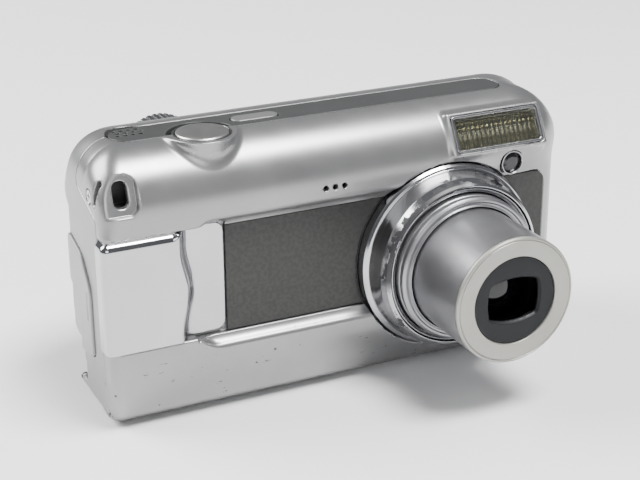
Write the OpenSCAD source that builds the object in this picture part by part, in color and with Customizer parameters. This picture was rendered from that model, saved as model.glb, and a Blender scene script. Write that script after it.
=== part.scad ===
// Compact digital camera, extended-lens pose, in millimetres.
// X runs across the body (to the right seen from the front), the front faces -Y, +Z is up.
// The origin lies on the base plane, below the middle of the body.

/* [Body] */
// Left side of the casing
body_left = -51.8; // [-52:0.1:-51.5]
// Right side of the casing
body_right = 52.4; // [52:0.1:53]
// Height of the casing
body_height = 55.1; // [55:0.1:55.6]
// Rear face, behind the origin
rear_y = 15.7; // [15.6:0.1:16]
// Front reach of the upper and lower fronts
front_reach = 18.4; // [18.2:0.1:18.6]
// Thickness of the casing walls
wall = 1.25; // [1.2:0.05:1.4]
// Place of the joint between the front and the rear cover
seam_y = -3.8; // [-4.0:0.1:-3.6]
// Height of the side step in that joint
seam_step_z = 42.8; // [42:0.2:43.4]

/* [Front panel] */
// Depth of the dark panel's face
panel_reach = 16; // [15.8:0.1:16.2]
// Lower edge of the panel
panel_low = 16.4; // [16:0.1:17]
// Upper edge of the panel
panel_high = 38.5; // [38:0.1:39]
// Thickness of the panel plates
panel_thick = 0.8; // [0.6:0.1:0.9]
// Right end of the panel
panel_right = 44.8; // [44:0.2:45]

/* [Grip plate] */
// Lower edge of the plate
grip_low = 17; // [16.6:0.1:17.5]
// Upper edge of the plate
grip_high = 39.4; // [39:0.1:39.8]
// Reach of the raised part
grip_reach = 19.1; // [19:0.1:19.4]
// Sheet thickness of the plate
grip_thick = 0.9; // [0.7:0.1:1]

/* [Lens] */
// Lens axis across the body
lens_x = 20.4; // [20:0.1:21]
// Lens axis above the base
lens_z = 24.4; // [24:0.1:24.8]
// Outer radius of the front barrel
barrel_r = 12.8; // [12.7:0.05:12.9]
// Reach of the front barrel's face
barrel_reach = 43.8; // [43:0.1:44]
// Outer radius of the middle tube
middle_r = 15; // [14.9:0.05:15]
// Reach of the middle tube
middle_reach = 27; // [26.6:0.1:27.4]
// Outer radius of the chrome ring
ring_r = 19.4; // [19.2:0.1:19.6]
// Teeth on the cam ring
cam_teeth = 66; // [66:1:66]
// Teeth on the idler gear
idler_teeth = 12; // [12:1:12]
// Teeth on the motor pinion
pinion_teeth = 10; // [10:1:10]
// Gear module
gear_module = 0.5; // [0.5:0.1:0.5]

/* [Flash] */
// Middle of the flash window across the body
flash_x = 31.9; // [31:0.1:32.4]
// Width of the flash window
flash_w = 19; // [18:0.2:19.4]
// Height of the flash window along its face
flash_h = 6.5; // [6:0.1:6.8]
// Backward lean of the flash window in degrees
flash_lean = 29.7; // [27:0.1:32]

/* [Top controls] */
// Radius of the shutter button
shutter_r = 5.1; // [4.8:0.1:5.2]
// Length of the power button
power_w = 9.6; // [9:0.1:10]
// Depth of the power button
power_d = 3.5; // [3:0.1:3.8]

/* [Rear controls] */
// Radius of the mode dial
dial_r = 8.3; // [8:0.1:8.4]
// Outer radius of the four-way ring
pad_r = 9; // [8.6:0.1:9]
// Radius of the set button
set_r = 3.8; // [3.4:0.1:3.8]

/* [Screen] */
// Left edge of the screen window
screen_left = -13; // [-13:0.2:-12]
// Right edge of the screen window
screen_right = 41.4; // [40:0.2:41.6]
// Lower edge of the screen window
screen_low = 5.2; // [5:0.1:6]
// Upper edge of the screen window
screen_high = 44.2; // [43:0.1:44.4]

/* [Power] */
// Diameter of a cell
cell_d = 14.2; // [13.8:0.1:14.2]
// Length of a cell with its cap
cell_length = 50.5; // [49.5:0.1:50.5]

/* [Tripod socket] */
// Bore radius of the socket thread
socket_r = 2.6; // [2.5:0.05:2.7]
// Depth of the socket thread
socket_depth = 5.2; // [5:0.1:5.4]

/* [Fits] */
// Gap round the buttons
button_gap = 0.2; // [0.15:0.05:0.25]
// Gap between seated plates
plate_gap = 0.05; // [0.03:0.01:0.08]
// Radial play of a turning bore
running_gap = 0.05; // [0.03:0.01:0.09]

/* [Hidden] */
$fn = 64;
far = 80;
body_bottom = 0;
shoulder_r = 12;
shoulder_y = shoulder_r - front_reach;
shoulder_z = body_height - shoulder_r;
crown_r = 22;
crown_y = -2;
crown_z = body_height - crown_r;
rear_corner_r = 6;
rear_corner_y = rear_y - rear_corner_r;
rear_corner_z = crown_z + sqrt(pow(crown_r - rear_corner_r, 2) - pow(rear_corner_y - crown_y, 2));
belly_r = 22;
belly_y = belly_r - front_reach - 0.1;
belly_z = 12;
toe_r = 3;
toe_y = belly_y - sqrt(pow(belly_r - toe_r, 2) - pow(belly_z - toe_r, 2));
heel_r = 3;
ridge_high = 42.2;
ridge_low = 14.3;
grip_step = -35.7;
panel_left = -27.4;
panel_back = panel_reach - panel_thick;
backing = 1;
door_right = 1.9;
door_front = -14.2;
door_back = 5;
door_top = 3.1;
door_gap = 0.15;
door_pin = [-50.3, 2.3];
door_pin_r = 0.35;
door_barrel_r = 0.78;
door_swing_r = 1.15;
door_arm_ys = [door_front + 0.6, door_back - 1.2];
cell_r = cell_d / 2;
cell_y = -6.7;
cell_left = -49.3;
cell_low_z = 14;
cell_pitch = cell_d + 0.3;
card_left = -30;
card_w = 24;
card_y = 1.65;
card_thick = 2.1;
card_z = 2.6;
card_h = 32;
strip_left = -45.3;
strip_right = 38.5;
strip_front = -8.5;
strip_back = -1;
strip_under = 53.9;
shutter_x = -28.7;
shutter_y = -9.9;
power_x = -16.1;
power_y = -5.2;
speaker_x = -41.2;
speaker_y = -3.6;
flash_y = -16.5;
flash_z = 48.9;
lamp_x = 34.8;
lamp_z = 42;
lamp_r = 2.15;
dial_x = -28.5;
dial_z = 43.4;
dial_floor = 10.8;
dial_post_r = 1.5;
pad_x = -27;
pad_z = 21;
rocker_x = -40.5;
rocker_z = 33;
side_button_x = -16.6;
print_z = 42;
play_z = 30.5;
small_button_r = 2.2;
oval_button_z = 7.6;
oval_button_w = 7;
oval_button_h = 3.4;
disp_x = -35.5;
menu_x = -18.5;
socket_y = 3;
socket_outer_r = 5.5;
housing_r = 17.9;
housing_wall = 0.8;
housing_back = 3.6;
cam_outer_r = 16.4;
cam_inner_r = 15.3;
cam_pitch_r = cam_teeth * gear_module / 2;
idler_pitch_r = idler_teeth * gear_module / 2;
pinion_pitch_r = pinion_teeth * gear_module / 2;
idler_angle = -45;
cam_phase = 0;
idler_x = lens_x + (cam_pitch_r + idler_pitch_r) * cos(idler_angle);
idler_z = lens_z + (cam_pitch_r + idler_pitch_r) * sin(idler_angle);
pinion_x = idler_x + idler_pitch_r + pinion_pitch_r;
pinion_z = idler_z;
idler_turn = idler_angle + 180 + (idler_angle - cam_phase) * cam_teeth / idler_teeth + 180 / idler_teeth;
pinion_turn = 180 + (0 - idler_turn) * idler_teeth / pinion_teeth + 180 / pinion_teeth;
gear_front = 0;
gear_back = 2.2;
screw_x = 0;
screw_z = -10.6;
rod_offset = 11;
surround_w = 0.6;
rod_r = 0.6;
blade_thick = 0.25;
blade_pivot = 10.2;
base_screws = [[46, 8], [46, -9], [8, 12]];
left_screw = [-11.2, 46.5];
right_screws = [[2, 12], [2, 44]];
usb_z = 18;
dc_z = 29.8;
jack_y = 2.8;

// ---------------------------------------------------------------- helpers

// Extrudes a (Y, Z) outline from x0 to x1.
module across(x0, x1) {
  translate([x0, 0, 0]) rotate([90, 0, 90]) linear_extrude(x1 - x0) children();
}

// Extrudes an (X, Z) outline from y0 to y1.
module through(y0, y1) {
  translate([0, y1, 0]) rotate([90, 0, 0]) linear_extrude(y1 - y0) children();
}

// Extrudes an (X, Y) outline from z0 to z1.
module upright(z0, z1) {
  translate([0, 0, z0]) linear_extrude(z1 - z0) children();
}

// Box between two opposite corners.
module block(low, high) {
  translate(low) cube(high - low);
}

// Rectangle with one radius for each corner, from low left round to high left.
module soft_rect(low, high, radii) {
  corners = [low, [high[0], low[1]], high, [low[0], high[1]]];
  inward = [[1, 1], [-1, 1], [-1, -1], [1, -1]];
  difference() {
    translate(low) square(high - low);
    for (i = [0:3]) {
      if (radii[i] > 0) {
        difference() {
          translate(corners[i]) square(2 * radii[i], center = true);
          translate(corners[i] + radii[i] * inward[i]) circle(radii[i]);
        }
      }
    }
  }
}

// Slot with round ends: total size w by h about the local origin.
module pill(w, h) {
  square([w - h, h], center = true);
  for (side = [-1, 1]) translate([side * (w - h) / 2, 0]) circle(h / 2);
}

// Turns a (radius, reach) outline about the lens axis; reach grows towards the front.
module lens_turned() {
  translate([lens_x, 0, lens_z]) rotate([90, 0, 0]) rotate_extrude() children();
}

// Straight-walled ring on the lens axis between two reaches.
module lens_tube(inner, outer, reach0, reach1) {
  lens_turned() translate([inner, reach0]) square([outer - inner, reach1 - reach0]);
}

// Puts children in the flash window's own leaning frame.
module at_flash() {
  translate([flash_x, flash_y, flash_z]) rotate([-flash_lean, 0, 0]) children();
}

// One spur gear outline; its flanks are straight and a little thin for backlash.
module gear_outline(teeth, bore) {
  pitch_r = teeth * gear_module / 2;
  root_r = pitch_r - 1.25 * gear_module;
  tip_r = pitch_r + 0.9 * gear_module;
  step = 360 / teeth;
  half = [0.31, 0.21, 0.10];
  radii = [root_r - 0.02, pitch_r, tip_r];
  difference() {
    union() {
      circle(root_r);
      for (i = [0:teeth - 1]) rotate(i * step) {
        polygon(concat(
          [for (k = [0:2]) radii[k] * [cos(-half[k] * step), sin(-half[k] * step)]],
          [for (k = [2:-1:0]) radii[k] * [cos(half[k] * step), sin(half[k] * step)]]
        ));
      }
    }
    if (bore > 0) circle(bore);
  }
}

// ---------------------------------------------------------------- casing form

// Side outline of the body (Y, Z), moved inwards by inset.
module side_outline(inset) {
  top = body_height - inset;
  front = -front_reach + inset;
  rear = rear_y - inset;
  low = body_bottom + inset;
  corner_dir = [rear_corner_y - crown_y, rear_corner_z - crown_z] / (crown_r - rear_corner_r);
  crown_end = [crown_y, crown_z] + crown_r * corner_dir;
  toe_dir = [toe_y - belly_y, toe_r - belly_z] / (belly_r - toe_r);
  toe_end = [belly_y, belly_z] + (belly_r - inset) * toe_dir;
  // middle block up to the flat top
  translate([shoulder_y, low]) square([crown_y - shoulder_y, top - low]);
  // front shoulder and the face below it
  intersection() {
    translate([shoulder_y, shoulder_z]) circle(shoulder_r - inset, $fn = 96);
    translate([-far, shoulder_z]) square([far + shoulder_y, far]);
  }
  translate([front, belly_z]) square([shoulder_y - front, shoulder_z - belly_z]);
  // belly and toe of the lower front
  intersection() {
    translate([belly_y, belly_z]) circle(belly_r - inset, $fn = 128);
    polygon([[belly_y, belly_z], [-far, belly_z], toe_end + 20 * toe_dir, toe_end - 10 * toe_dir]);
  }
  translate([toe_y, toe_r]) circle(toe_r - inset);
  polygon([[toe_y, low], toe_end, [front + 1.5, belly_z], [shoulder_y + 1, belly_z], [shoulder_y + 1, low]]);
  // crown and rear corner
  intersection() {
    translate([crown_y, crown_z]) circle(crown_r - inset, $fn = 128);
    polygon([[crown_y, crown_z], [crown_y, far], crown_end + 20 * corner_dir, crown_end - 10 * corner_dir]);
  }
  translate([rear_corner_y, rear_corner_z]) circle(rear_corner_r - inset);
  polygon([
    [crown_y - 1, low], [rear_y - heel_r, low], [rear, heel_r], [rear, rear_corner_z],
    crown_end - 6 * corner_dir, [crown_y, crown_z + 6], [crown_y - 1, crown_z + 6]
  ]);
  translate([rear_y - heel_r, heel_r]) circle(heel_r - inset);
}

// The body as one solid: side, front and top outlines crossed, moved inwards by inset.
module body_form(inset) {
  intersection() {
    across(body_left + inset, body_right - inset) side_outline(inset);
    through(-far, far) soft_rect([body_left + inset, body_bottom + inset],
      [body_right - inset, body_height - inset], [4.5 - inset, 6 - inset, 16 - inset, 8 - inset]);
    upright(-1, far) soft_rect([body_left + inset, -far / 2], [body_right - inset, rear_y - inset],
      [0, 0, 10 - inset, 15 - inset]);
    upright(-1, far) soft_rect([body_left + inset, -front_reach + inset - 0.1],
      [body_right - inset, far], [2.5, 19 - inset, 0, 0]);
  }
}

// Everything in front of the joint between the covers.
module front_half() {
  difference() {
    block([-far, -far, -1], [far, seam_y, far]);
    across(-far, -48.6) polygon([[-14.6, -2], [-14.6, seam_step_z], [seam_y + 1, seam_step_z + 4], [seam_y + 1, -2]]);
  }
}

// The body cut back to the panels' face, moved inwards by inset.
module panel_core(inset) {
  intersection() {
    body_form(inset);
    through(-panel_reach + inset, far) square(2 * far, center = true);
  }
}

// Outline of the right panel, grown by gap.
module right_panel_outline(gap) {
  through(-far, -5) soft_rect([lens_x, panel_low - gap], [panel_right + gap, panel_high + gap], [0, 3.5, 3.5, 0]);
}

// Band of the front that is set back behind the two ridges.
module cove(reach, margin) {
  across(grip_step - margin, 47 + margin) polygon([
    [-reach, panel_low - 0.4 - margin], [-reach, panel_high + 0.4 + margin],
    [-front_reach - 0.2, ridge_high + margin], [-far, ridge_high + margin],
    [-far, ridge_low - margin], [-front_reach - 0.2, ridge_low - margin]
  ]);
}

// Opening in the base for the battery door.
module door_zone(gap) {
  block([-far, door_front - gap, -2], [door_right + gap, door_back + gap, door_top + gap]);
  through(door_front - gap, door_back + gap) translate(door_pin) circle(door_swing_r);
}

// Top view of the grip plate's outer face, pulled back by inset.
module grip_outline(inset) {
  left = body_left - 0.6 + inset;
  face = -grip_reach + inset;
  tab = -panel_reach + inset;
  polygon([
    [left, -14.9], [left, face + 2], [left + 0.6, face + 0.6], [left + 2, face],
    [-37.2 - inset / 2, face], [-36.3 - inset / 2, face + 0.5], [-35.5 - inset / 2, tab - 0.6],
    [-34.6 - inset / 2, tab], [panel_left, tab], [panel_left, 0], [left, 0]
  ]);
}

// Strap pocket through the upper left corner.
module strap_pocket() {
  block([-52.6, -19, 43.9], [-44.4, -17.2, 51.1]);
  block([-48.7, -19, 45.2], [-45.9, -13.6, 50]);
  block([-54, -16.6, 45.2], [-45.9, -13.6, 50]);
}

// Clear holes for the case screws, with seats for their heads.
module screw_holes(r) {
  for (p = base_screws) translate([p[0], p[1], -1]) screw_hole(r);
  translate([body_left - 1, left_screw[0], left_screw[1]]) rotate([0, 90, 0]) screw_hole(r);
  for (p = right_screws) translate([body_right + 1, p[0], p[1]]) rotate([0, -90, 0]) screw_hole(r);
}

module screw_hole(r) {
  cylinder(r = r, h = 7);
  cylinder(r = max(r, 1.3), h = 1.85);
}

// ---------------------------------------------------------------- casing

module front_cover() {
  color("silver") difference() {
    union() {
      difference() {
        body_form(0);
        difference() {
          body_form(wall);
          cove(panel_back - backing, wall);
          at_flash() block([-flash_w / 2 - 1.6, -3, -flash_h / 2 - 1.4], [flash_w / 2 + 1.6, 1.4, flash_h / 2 + 1.4]);
        }
      }
      intersection() {
        translate([shutter_x, shutter_y, 48.2]) cylinder(r = shutter_r + 1.5, h = 6.7);
        block([-far, -far, 0], [far, seam_y, far]);
      }
    }
    cove(panel_reach, 0);
    through(-far, -panel_back + plate_gap) {
      soft_rect([grip_step, panel_low - 0.1], [lens_x + 1, panel_high + 0.1], [0, 0, 0, 0]);
    }
    difference() {
      right_panel_outline(0.1);
      panel_core(panel_thick + plate_gap);
    }
    upright(grip_low - 0.05, grip_high + 0.05) difference() {
      translate([-far, -far]) square([far + panel_left + plate_gap, far - 14]);
      grip_outline(grip_thick + plate_gap);
    }
    lens_tube(0, ring_r + 0.1, panel_back - plate_gap, far);
    lens_tube(0, housing_r + 0.1, -far, far);
    lens_tube(0, ring_r + surround_w + 0.1, panel_back - plate_gap, panel_reach + 0.62);
    at_flash() block([-flash_w / 2 - 0.65, -6, -flash_h / 2 - 0.65], [flash_w / 2 + 0.65, 8, flash_h / 2 + 0.65]);
    through(-far, -10) translate([lamp_x, lamp_z]) circle(lamp_r + 0.4);
    for (x = [-7, -5, -3]) through(-far, -13) translate([x, 43.1]) circle(0.5);
    translate([shutter_x, shutter_y, 46]) cylinder(r = shutter_r + button_gap, h = 20);
    upright(50, far) translate([power_x, power_y]) pill(power_w + 2 * button_gap, power_d + 2 * button_gap);
    top_slab(plate_gap);
    translate([speaker_x, speaker_y, 46]) cylinder(r = 4.3, h = 9);
    strap_pocket();
    screw_holes(0.85);
    door_zone(door_gap);
    difference() {
      block([-far, -far, -5], [far, far, far]);
      front_half();
    }
  }
}

module rear_cover() {
  color("gray") difference() {
    union() {
      difference() {
        body_form(0);
        body_form(wall);
      }
      intersection() {
        body_form(0.2);
        union() {
          through(dial_floor - 1, rear_y) translate([dial_x, dial_z]) circle(dial_r + 1.4);
          block([lens_x - 6.5, -3.5, 0.5], [lens_x + 6.5, 9.5, 3]);
        }
      }
    }
    front_half();
    through(dial_floor, far) translate([dial_x, dial_z]) circle(dial_r + 0.4);
    screen_recess();
    through(9, far) translate([pad_x, pad_z]) circle(pad_r + 0.35);
    through(9, far) rocker_outline(0.3);
    for (z = [print_z, play_z]) through(9, far) translate([side_button_x, z]) circle(small_button_r + button_gap);
    for (z = [37.6, 35.2]) through(9, far) translate([side_button_x, z]) circle(0.6);
    for (x = [disp_x, menu_x]) {
      through(9, far) translate([x, oval_button_z]) pill(oval_button_w + 2 * button_gap, oval_button_h + 2 * button_gap);
    }
    block([-far, jack_y - 1.65, usb_z - 0.1], [-50, jack_y + 1.65, usb_z + 7.8]);
    across(-far, -50) translate([jack_y, dc_z]) circle(1.5);
    difference() {
      across(-far, -45) terminal_outline(0.15);
      body_form(0.95);
    }
    translate([lens_x, socket_y, -1]) cylinder(r = socket_outer_r, h = 8);
    top_slab(plate_gap);
    translate([speaker_x, speaker_y, 46]) cylinder(r = 4.3, h = 9);
    upright(50, far) translate([power_x, power_y]) pill(power_w + 2 * button_gap, power_d + 2 * button_gap);
    screw_holes(0.85);
    door_zone(door_gap);
  }
  color("gray") translate([dial_x, 0, dial_z]) rotate([90, 0, 0]) translate([0, 0, -dial_floor - 3])
    cylinder(r = dial_post_r, h = 3.2);
}

// Outline of the dark strip on top.
module strip_outline(gap) {
  w = strip_right - strip_left + 2 * gap;
  d = strip_back - strip_front + 2 * gap;
  soft_rect([strip_left - gap, strip_front - gap], [strip_right + gap, strip_back + gap],
    [d / 2 - 0.01, 3, 3, d / 2 - 0.01]);
}

module top_slab(gap) {
  upright(strip_under - gap, far) strip_outline(gap);
}

module top_panel() {
  color("dimgray") difference() {
    intersection() {
      top_slab(0);
      body_form(0);
    }
    translate([shutter_x, shutter_y, 46]) cylinder(r = shutter_r + 1.6, h = 20);
    upright(50, far) translate([power_x, power_y]) pill(power_w + 2 * button_gap, power_d + 2 * button_gap);
    for (row = [0:2]) {
      for (i = [0:3]) {
        translate([speaker_x - 2.4 + 1.5 * i + 0.4 * (row % 2), speaker_y - 1.5 + 1.5 * row, 50])
          cylinder(r = 0.42, h = 10);
      }
    }
  }
}

module left_panel() {
  color("dimgray") difference() {
    block([panel_left + 0.15, -panel_reach, panel_low], [lens_x, -panel_back, panel_high]);
    lens_tube(0, ring_r + surround_w + 0.1, 0, far);
  }
}

module right_panel() {
  color("dimgray") difference() {
    intersection() {
      right_panel_outline(0);
      panel_core(0);
    }
    panel_core(panel_thick);
    lens_tube(0, ring_r + surround_w + 0.1, 0, far);
  }
}

module grip_plate() {
  color("gainsboro") upright(grip_low, grip_high) difference() {
    grip_outline(0);
    grip_outline(grip_thick);
    translate([body_left - 2, -14.85]) square([100, 20]);
  }
}

module lens_surround() {
  color("black") lens_turned() polygon([
    [ring_r + 0.15, panel_back], [ring_r + surround_w, panel_back], [ring_r + surround_w, panel_reach + 0.3],
    [ring_r + 0.15, panel_reach + 0.3]
  ]);
}

// ---------------------------------------------------------------- lens

module lens_ring() {
  color("gainsboro") lens_turned() polygon([
    [middle_r + 1.3, panel_back + 0.05], [ring_r, panel_back + 0.05], [ring_r, 18.4], [ring_r - 0.6, 18.8],
    [ring_r - 0.9, 19.2], [ring_r - 1.2, 20.8], [17.4, 23.2], [16.9, 24.4], [middle_r + 1.3, 24.8]
  ]);
}

module ring_insert() {
  color("silver") lens_turned() polygon([
    [middle_r + 0.25, 17.2], [middle_r + 1.25, 17.2], [middle_r + 1.25, 24.4], [middle_r + 0.25, 24]
  ]);
}

module lens_housing() {
  color("dimgray") difference() {
    union() {
      lens_tube(housing_r - housing_wall, housing_r, -housing_back, panel_back - 0.1);
      lens_tube(0, housing_r, -housing_back, -housing_back + 0.9);
      through(-1.2, -0.5) hull() {
        translate([pinion_x, pinion_z]) circle(4.8, $fn = 32);
        translate([idler_x + 1, idler_z]) circle(3.4, $fn = 32);
      }
    }
    block([lens_x - 6.2, 0, lens_z - 5.2], [lens_x + 6.2, 10, lens_z + 5.2]);
    through(gear_front - 0.3, gear_back + 0.3) translate([idler_x, idler_z]) circle(idler_pitch_r + 0.8);
    through(-5, 10) translate([idler_x, idler_z]) circle(0.6);
    through(-5, 10) translate([pinion_x, pinion_z]) circle(0.8);
    through(2, 5) translate([lens_x + screw_x, lens_z + screw_z]) circle(0.8);
  }
  color("silver") for (side = [-1, 1]) {
    through(-4.6, housing_back - 0.5) translate([lens_x + side * rod_offset, lens_z]) circle(rod_r);
  }
}

module cam_ring() {
  color("dimgray") {
    difference() {
      lens_tube(cam_inner_r, cam_outer_r, 0, 14.8);
      for (a = [0, 120, 240]) {
        translate([lens_x, 0, lens_z]) rotate([0, a, 0]) block([0, -12, -1], [far, -10.8, 1]);
      }
    }
    through(gear_front, gear_back) translate([lens_x, lens_z]) gear_outline(cam_teeth, cam_inner_r);
  }
}

module middle_tube() {
  color("silver") lens_turned() polygon([
    [barrel_r + 0.3, 8], [middle_r, 8], [middle_r, middle_reach - 0.3], [middle_r - 0.3, middle_reach],
    [barrel_r + 0.3, middle_reach]
  ]);
}

module front_barrel() {
  color("darkgray") difference() {
    union() {
      lens_tube(barrel_r - 0.9, barrel_r, 22.8, barrel_reach - 0.9);
      lens_tube(5.6, barrel_r - 0.9, 39.2, 40);
      lens_tube(5.6, 6.4, 36, 39.2);
      lens_tube(5.2, barrel_r - 0.9, 29, 30);
      for (side = [-1, 1]) {
        through(-42.4, -40) translate([lens_x + side * blade_pivot, lens_z]) circle(0.5);
      }
    }
  }
}

module face_ring() {
  color("gainsboro") difference() {
    lens_turned() polygon([
      [8.9, 42.95], [barrel_r, 42.95], [barrel_r, barrel_reach - 0.3], [barrel_r - 0.3, barrel_reach],
      [12.3, barrel_reach], [12.15, barrel_reach - 0.15], [12, barrel_reach], [8.9, barrel_reach]
    ]);
    through(-far, -barrel_reach + 0.3) translate([lens_x - 10.8, lens_z]) circle(0.45);
  }
}

// Barrel-shaped window outline about the lens axis.
module window_outline(w, h) {
  intersection() {
    square([w, h], center = true);
    translate([0, -14 + h / 2]) circle(14, $fn = 96);
    translate([0, 14 - h / 2]) circle(14, $fn = 96);
    translate([-14 + w / 2, 0]) circle(14, $fn = 96);
    translate([14 - w / 2, 0]) circle(14, $fn = 96);
  }
}

module aperture_disc() {
  color("black") difference() {
    lens_tube(0, 8.85, 42.5, barrel_reach - 0.35);
    through(-far, 0) translate([lens_x, lens_z]) window_outline(11.1, 8.1);
  }
}

module front_lens() {
  color("lightblue") intersection() {
    lens_tube(0, 5.55, 34, 39);
    translate([lens_x, -39 + 9, lens_z]) sphere(r = 9, $fn = 96);
    translate([lens_x, -36.6 - 22, lens_z]) sphere(r = 24, $fn = 96);
  }
}

module rear_lens() {
  color("lightblue") intersection() {
    lens_tube(0, 5.15, 24, 32);
    translate([lens_x, -29.6 + 14, lens_z]) sphere(r = 14, $fn = 96);
    translate([lens_x, -27 - 12, lens_z]) sphere(r = 14, $fn = 96);
  }
}

// One cover blade: a strip off its pivot, swung open by swing degrees and kept inside the barrel.
module blade(low, high, swing, layer, turn) {
  color("black") through(-layer - blade_thick, -layer) translate([lens_x, lens_z]) rotate(turn) difference() {
    intersection() {
      translate([-blade_pivot, 0]) rotate(swing) union() {
        translate([0.9, low]) square([15.6, high - low]);
        circle(1.1);
        translate([0, 0]) square([2.4, high * 0.7]);
      }
      circle(11.7);
    }
    translate([-blade_pivot, 0]) circle(0.5 + running_gap);
  }
}

module upper_inner_blade() { blade(0.02, 2.1, 41, 41.6, 0); }
module upper_outer_blade() { blade(2, 4.1, 22, 41.05, 0); }
module lower_inner_blade() { blade(0.02, 2.1, 41, 41.6, 180); }
module lower_outer_blade() { blade(2, 4.1, 22, 41.05, 180); }

module idler_gear() {
  color("white") {
    through(gear_front, gear_back) translate([idler_x, idler_z])
      rotate(idler_turn) gear_outline(idler_teeth, 0);
    through(-1.9, 3) translate([idler_x, idler_z]) circle(0.6 - running_gap);
  }
}

module motor_pinion() {
  color("goldenrod") {
    through(gear_front, gear_back) translate([pinion_x, pinion_z]) rotate(pinion_turn) gear_outline(pinion_teeth, 0);
    through(-3, 3) translate([pinion_x, pinion_z]) circle(0.75);
  }
}

module zoom_motor() {
  color("silver") difference() {
    through(-13.5, -1.2) translate([pinion_x, pinion_z]) circle(4.6);
    through(-3.4, 0) translate([pinion_x, pinion_z]) circle(0.8);
  }
}

module focus_carrier() {
  color("dimgray") difference() {
    union() {
      lens_tube(4, 9, -1.2, 1);
      through(-1, 1.2) translate([lens_x, lens_z]) {
        translate([-12.4, -1.6]) square([24.8, 3.2]);
        translate([-2, -12.4]) square([4, 5]);
      }
    }
    lens_tube(0, 4.3, -5, 5);
    for (side = [-1, 1]) through(-5, 5) translate([lens_x + side * rod_offset, lens_z]) circle(rod_r + running_gap);
    through(-5, 5) translate([lens_x + screw_x, lens_z + screw_z]) circle(0.75 + running_gap);
  }
  color("lightblue") lens_tube(0, 4.3, -0.9, 0.7);
}

module focus_screw() {
  color("goldenrod") through(-4.4, 3.6) translate([lens_x + screw_x, lens_z + screw_z]) circle(0.75);
}

module focus_motor() {
  color("silver") through(3.65, 6.2) translate([lens_x + screw_x, lens_z + screw_z]) circle(2.6);
}

module image_sensor() {
  color("darkolivegreen") {
    block([lens_x - 8.5, housing_back + 0.05, lens_z - 7], [lens_x + 8.5, housing_back + 0.95, lens_z + 7]);
    block([lens_x - 5, 2.2, lens_z - 4.2], [lens_x + 5, housing_back + 0.06, lens_z + 4.2]);
  }
}

// One cross-head screw along +Z, its head's face at z = 0.
module screw(length) {
  difference() {
    union() {
      translate([0, 0, 0]) cylinder(r = 1.25, h = 0.7);
      cylinder(r = 0.8, h = length);
    }
    for (a = [0, 90]) rotate(a) cube([1.5, 0.3, 0.7], center = true);
  }
}

module case_screws() {
  color("silver") {
    for (p = base_screws) translate([p[0], p[1], 0.1]) screw(4.4);
    translate([body_left + 0.1, left_screw[0], left_screw[1]]) rotate([0, 90, 0]) screw(4.4);
    for (p = right_screws) translate([body_right - 0.1, p[0], p[1]]) rotate([0, -90, 0]) screw(4.4);
  }
}

// ---------------------------------------------------------------- flash, lamp and sound

module flash_bezel() {
  w = flash_w / 2;
  h = flash_h / 2;
  color("silver") at_flash() difference() {
    block([-w - 0.6, -0.45, -h - 0.6], [w + 0.6, 2.4, h + 0.6]);
    block([-w, -5, -h], [w, 5, h]);
  }
}

module flash_window() {
  w = flash_w / 2 - plate_gap;
  h = flash_h / 2 - plate_gap;
  color("lightyellow") at_flash() block([-w, -0.25, -h], [w, 0.65, h]);
}

module flash_reflector() {
  w = flash_w / 2 - 0.15;
  h = flash_h / 2 - 0.15;
  color("khaki") at_flash() difference() {
    block([-w, 0.75, -h], [w, 5.2, h]);
    translate([0, 1.2, 0]) rotate([0, 90, 0]) cylinder(r = h - 0.3, h = 2 * w - 0.6, center = true);
    translate([0, 3, 0]) rotate([0, 90, 0]) cylinder(r = 1.5, h = 2 * w - 0.6, center = true);
    block([-w + 0.3, 0, -h + 0.3], [w - 0.3, 1.2, h - 0.3]);
    translate([0, 3, 0]) rotate([0, 90, 0]) cylinder(r = 0.8, h = 2 * w + 1, center = true);
  }
}

module flash_tube() {
  color("white") at_flash() translate([0, 3, 0]) rotate([0, 90, 0])
    cylinder(r = 0.8, h = flash_w - 0.4, center = true);
}

module flash_capacitor() {
  color("midnightblue") across(-24, 0) translate([-4.6, 44]) circle(3.9);
}

module focus_lamp() {
  color("black") {
    through(-18.1, -14.6) translate([lamp_x, lamp_z]) circle(lamp_r);
    through(-18.6, -14.6) translate([lamp_x, lamp_z]) difference() {
      circle(lamp_r + 0.35);
      circle(lamp_r);
    }
  }
}

module microphone() {
  color("silver") through(-13.9, -11.7) translate([-5, 43.1]) circle(2.6);
}

module speaker() {
  color("black") translate([speaker_x, speaker_y, 50.6]) cylinder(r = 4.1, h = 2.9);
}

// ---------------------------------------------------------------- controls

module shutter_button() {
  color("gainsboro") translate([shutter_x, shutter_y, 0]) {
    translate([0, 0, 53.6]) cylinder(r = shutter_r, h = 2);
    translate([0, 0, 49.4]) cylinder(r = 1.4, h = 4.3);
  }
}

module power_button() {
  color("dimgray") translate([power_x, power_y, 0]) {
    upright(52.2, 55.3) pill(power_w, power_d);
    upright(50.4, 52.3) pill(power_w / 2, power_d / 2);
  }
}

module mode_dial() {
  grip_count = 40;
  color("silver") difference() {
    through(dial_floor + 0.3, rear_y + 0.4) translate([dial_x, dial_z]) difference() {
      circle(dial_r, $fn = 96);
      for (i = [0:grip_count - 1]) {
        rotate(i * 360 / grip_count) translate([dial_r + 0.1, 0]) circle(0.3, $fn = 16);
      }
    }
    through(0, dial_floor + 3.1) translate([dial_x, dial_z]) circle(dial_post_r + running_gap);
  }
}

// Outline of the zoom rocker, grown by gap.
module rocker_outline(gap) {
  translate([rocker_x, rocker_z]) rotate(90) pill(12 + 2 * gap, 5.6 + 2 * gap);
}

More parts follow.
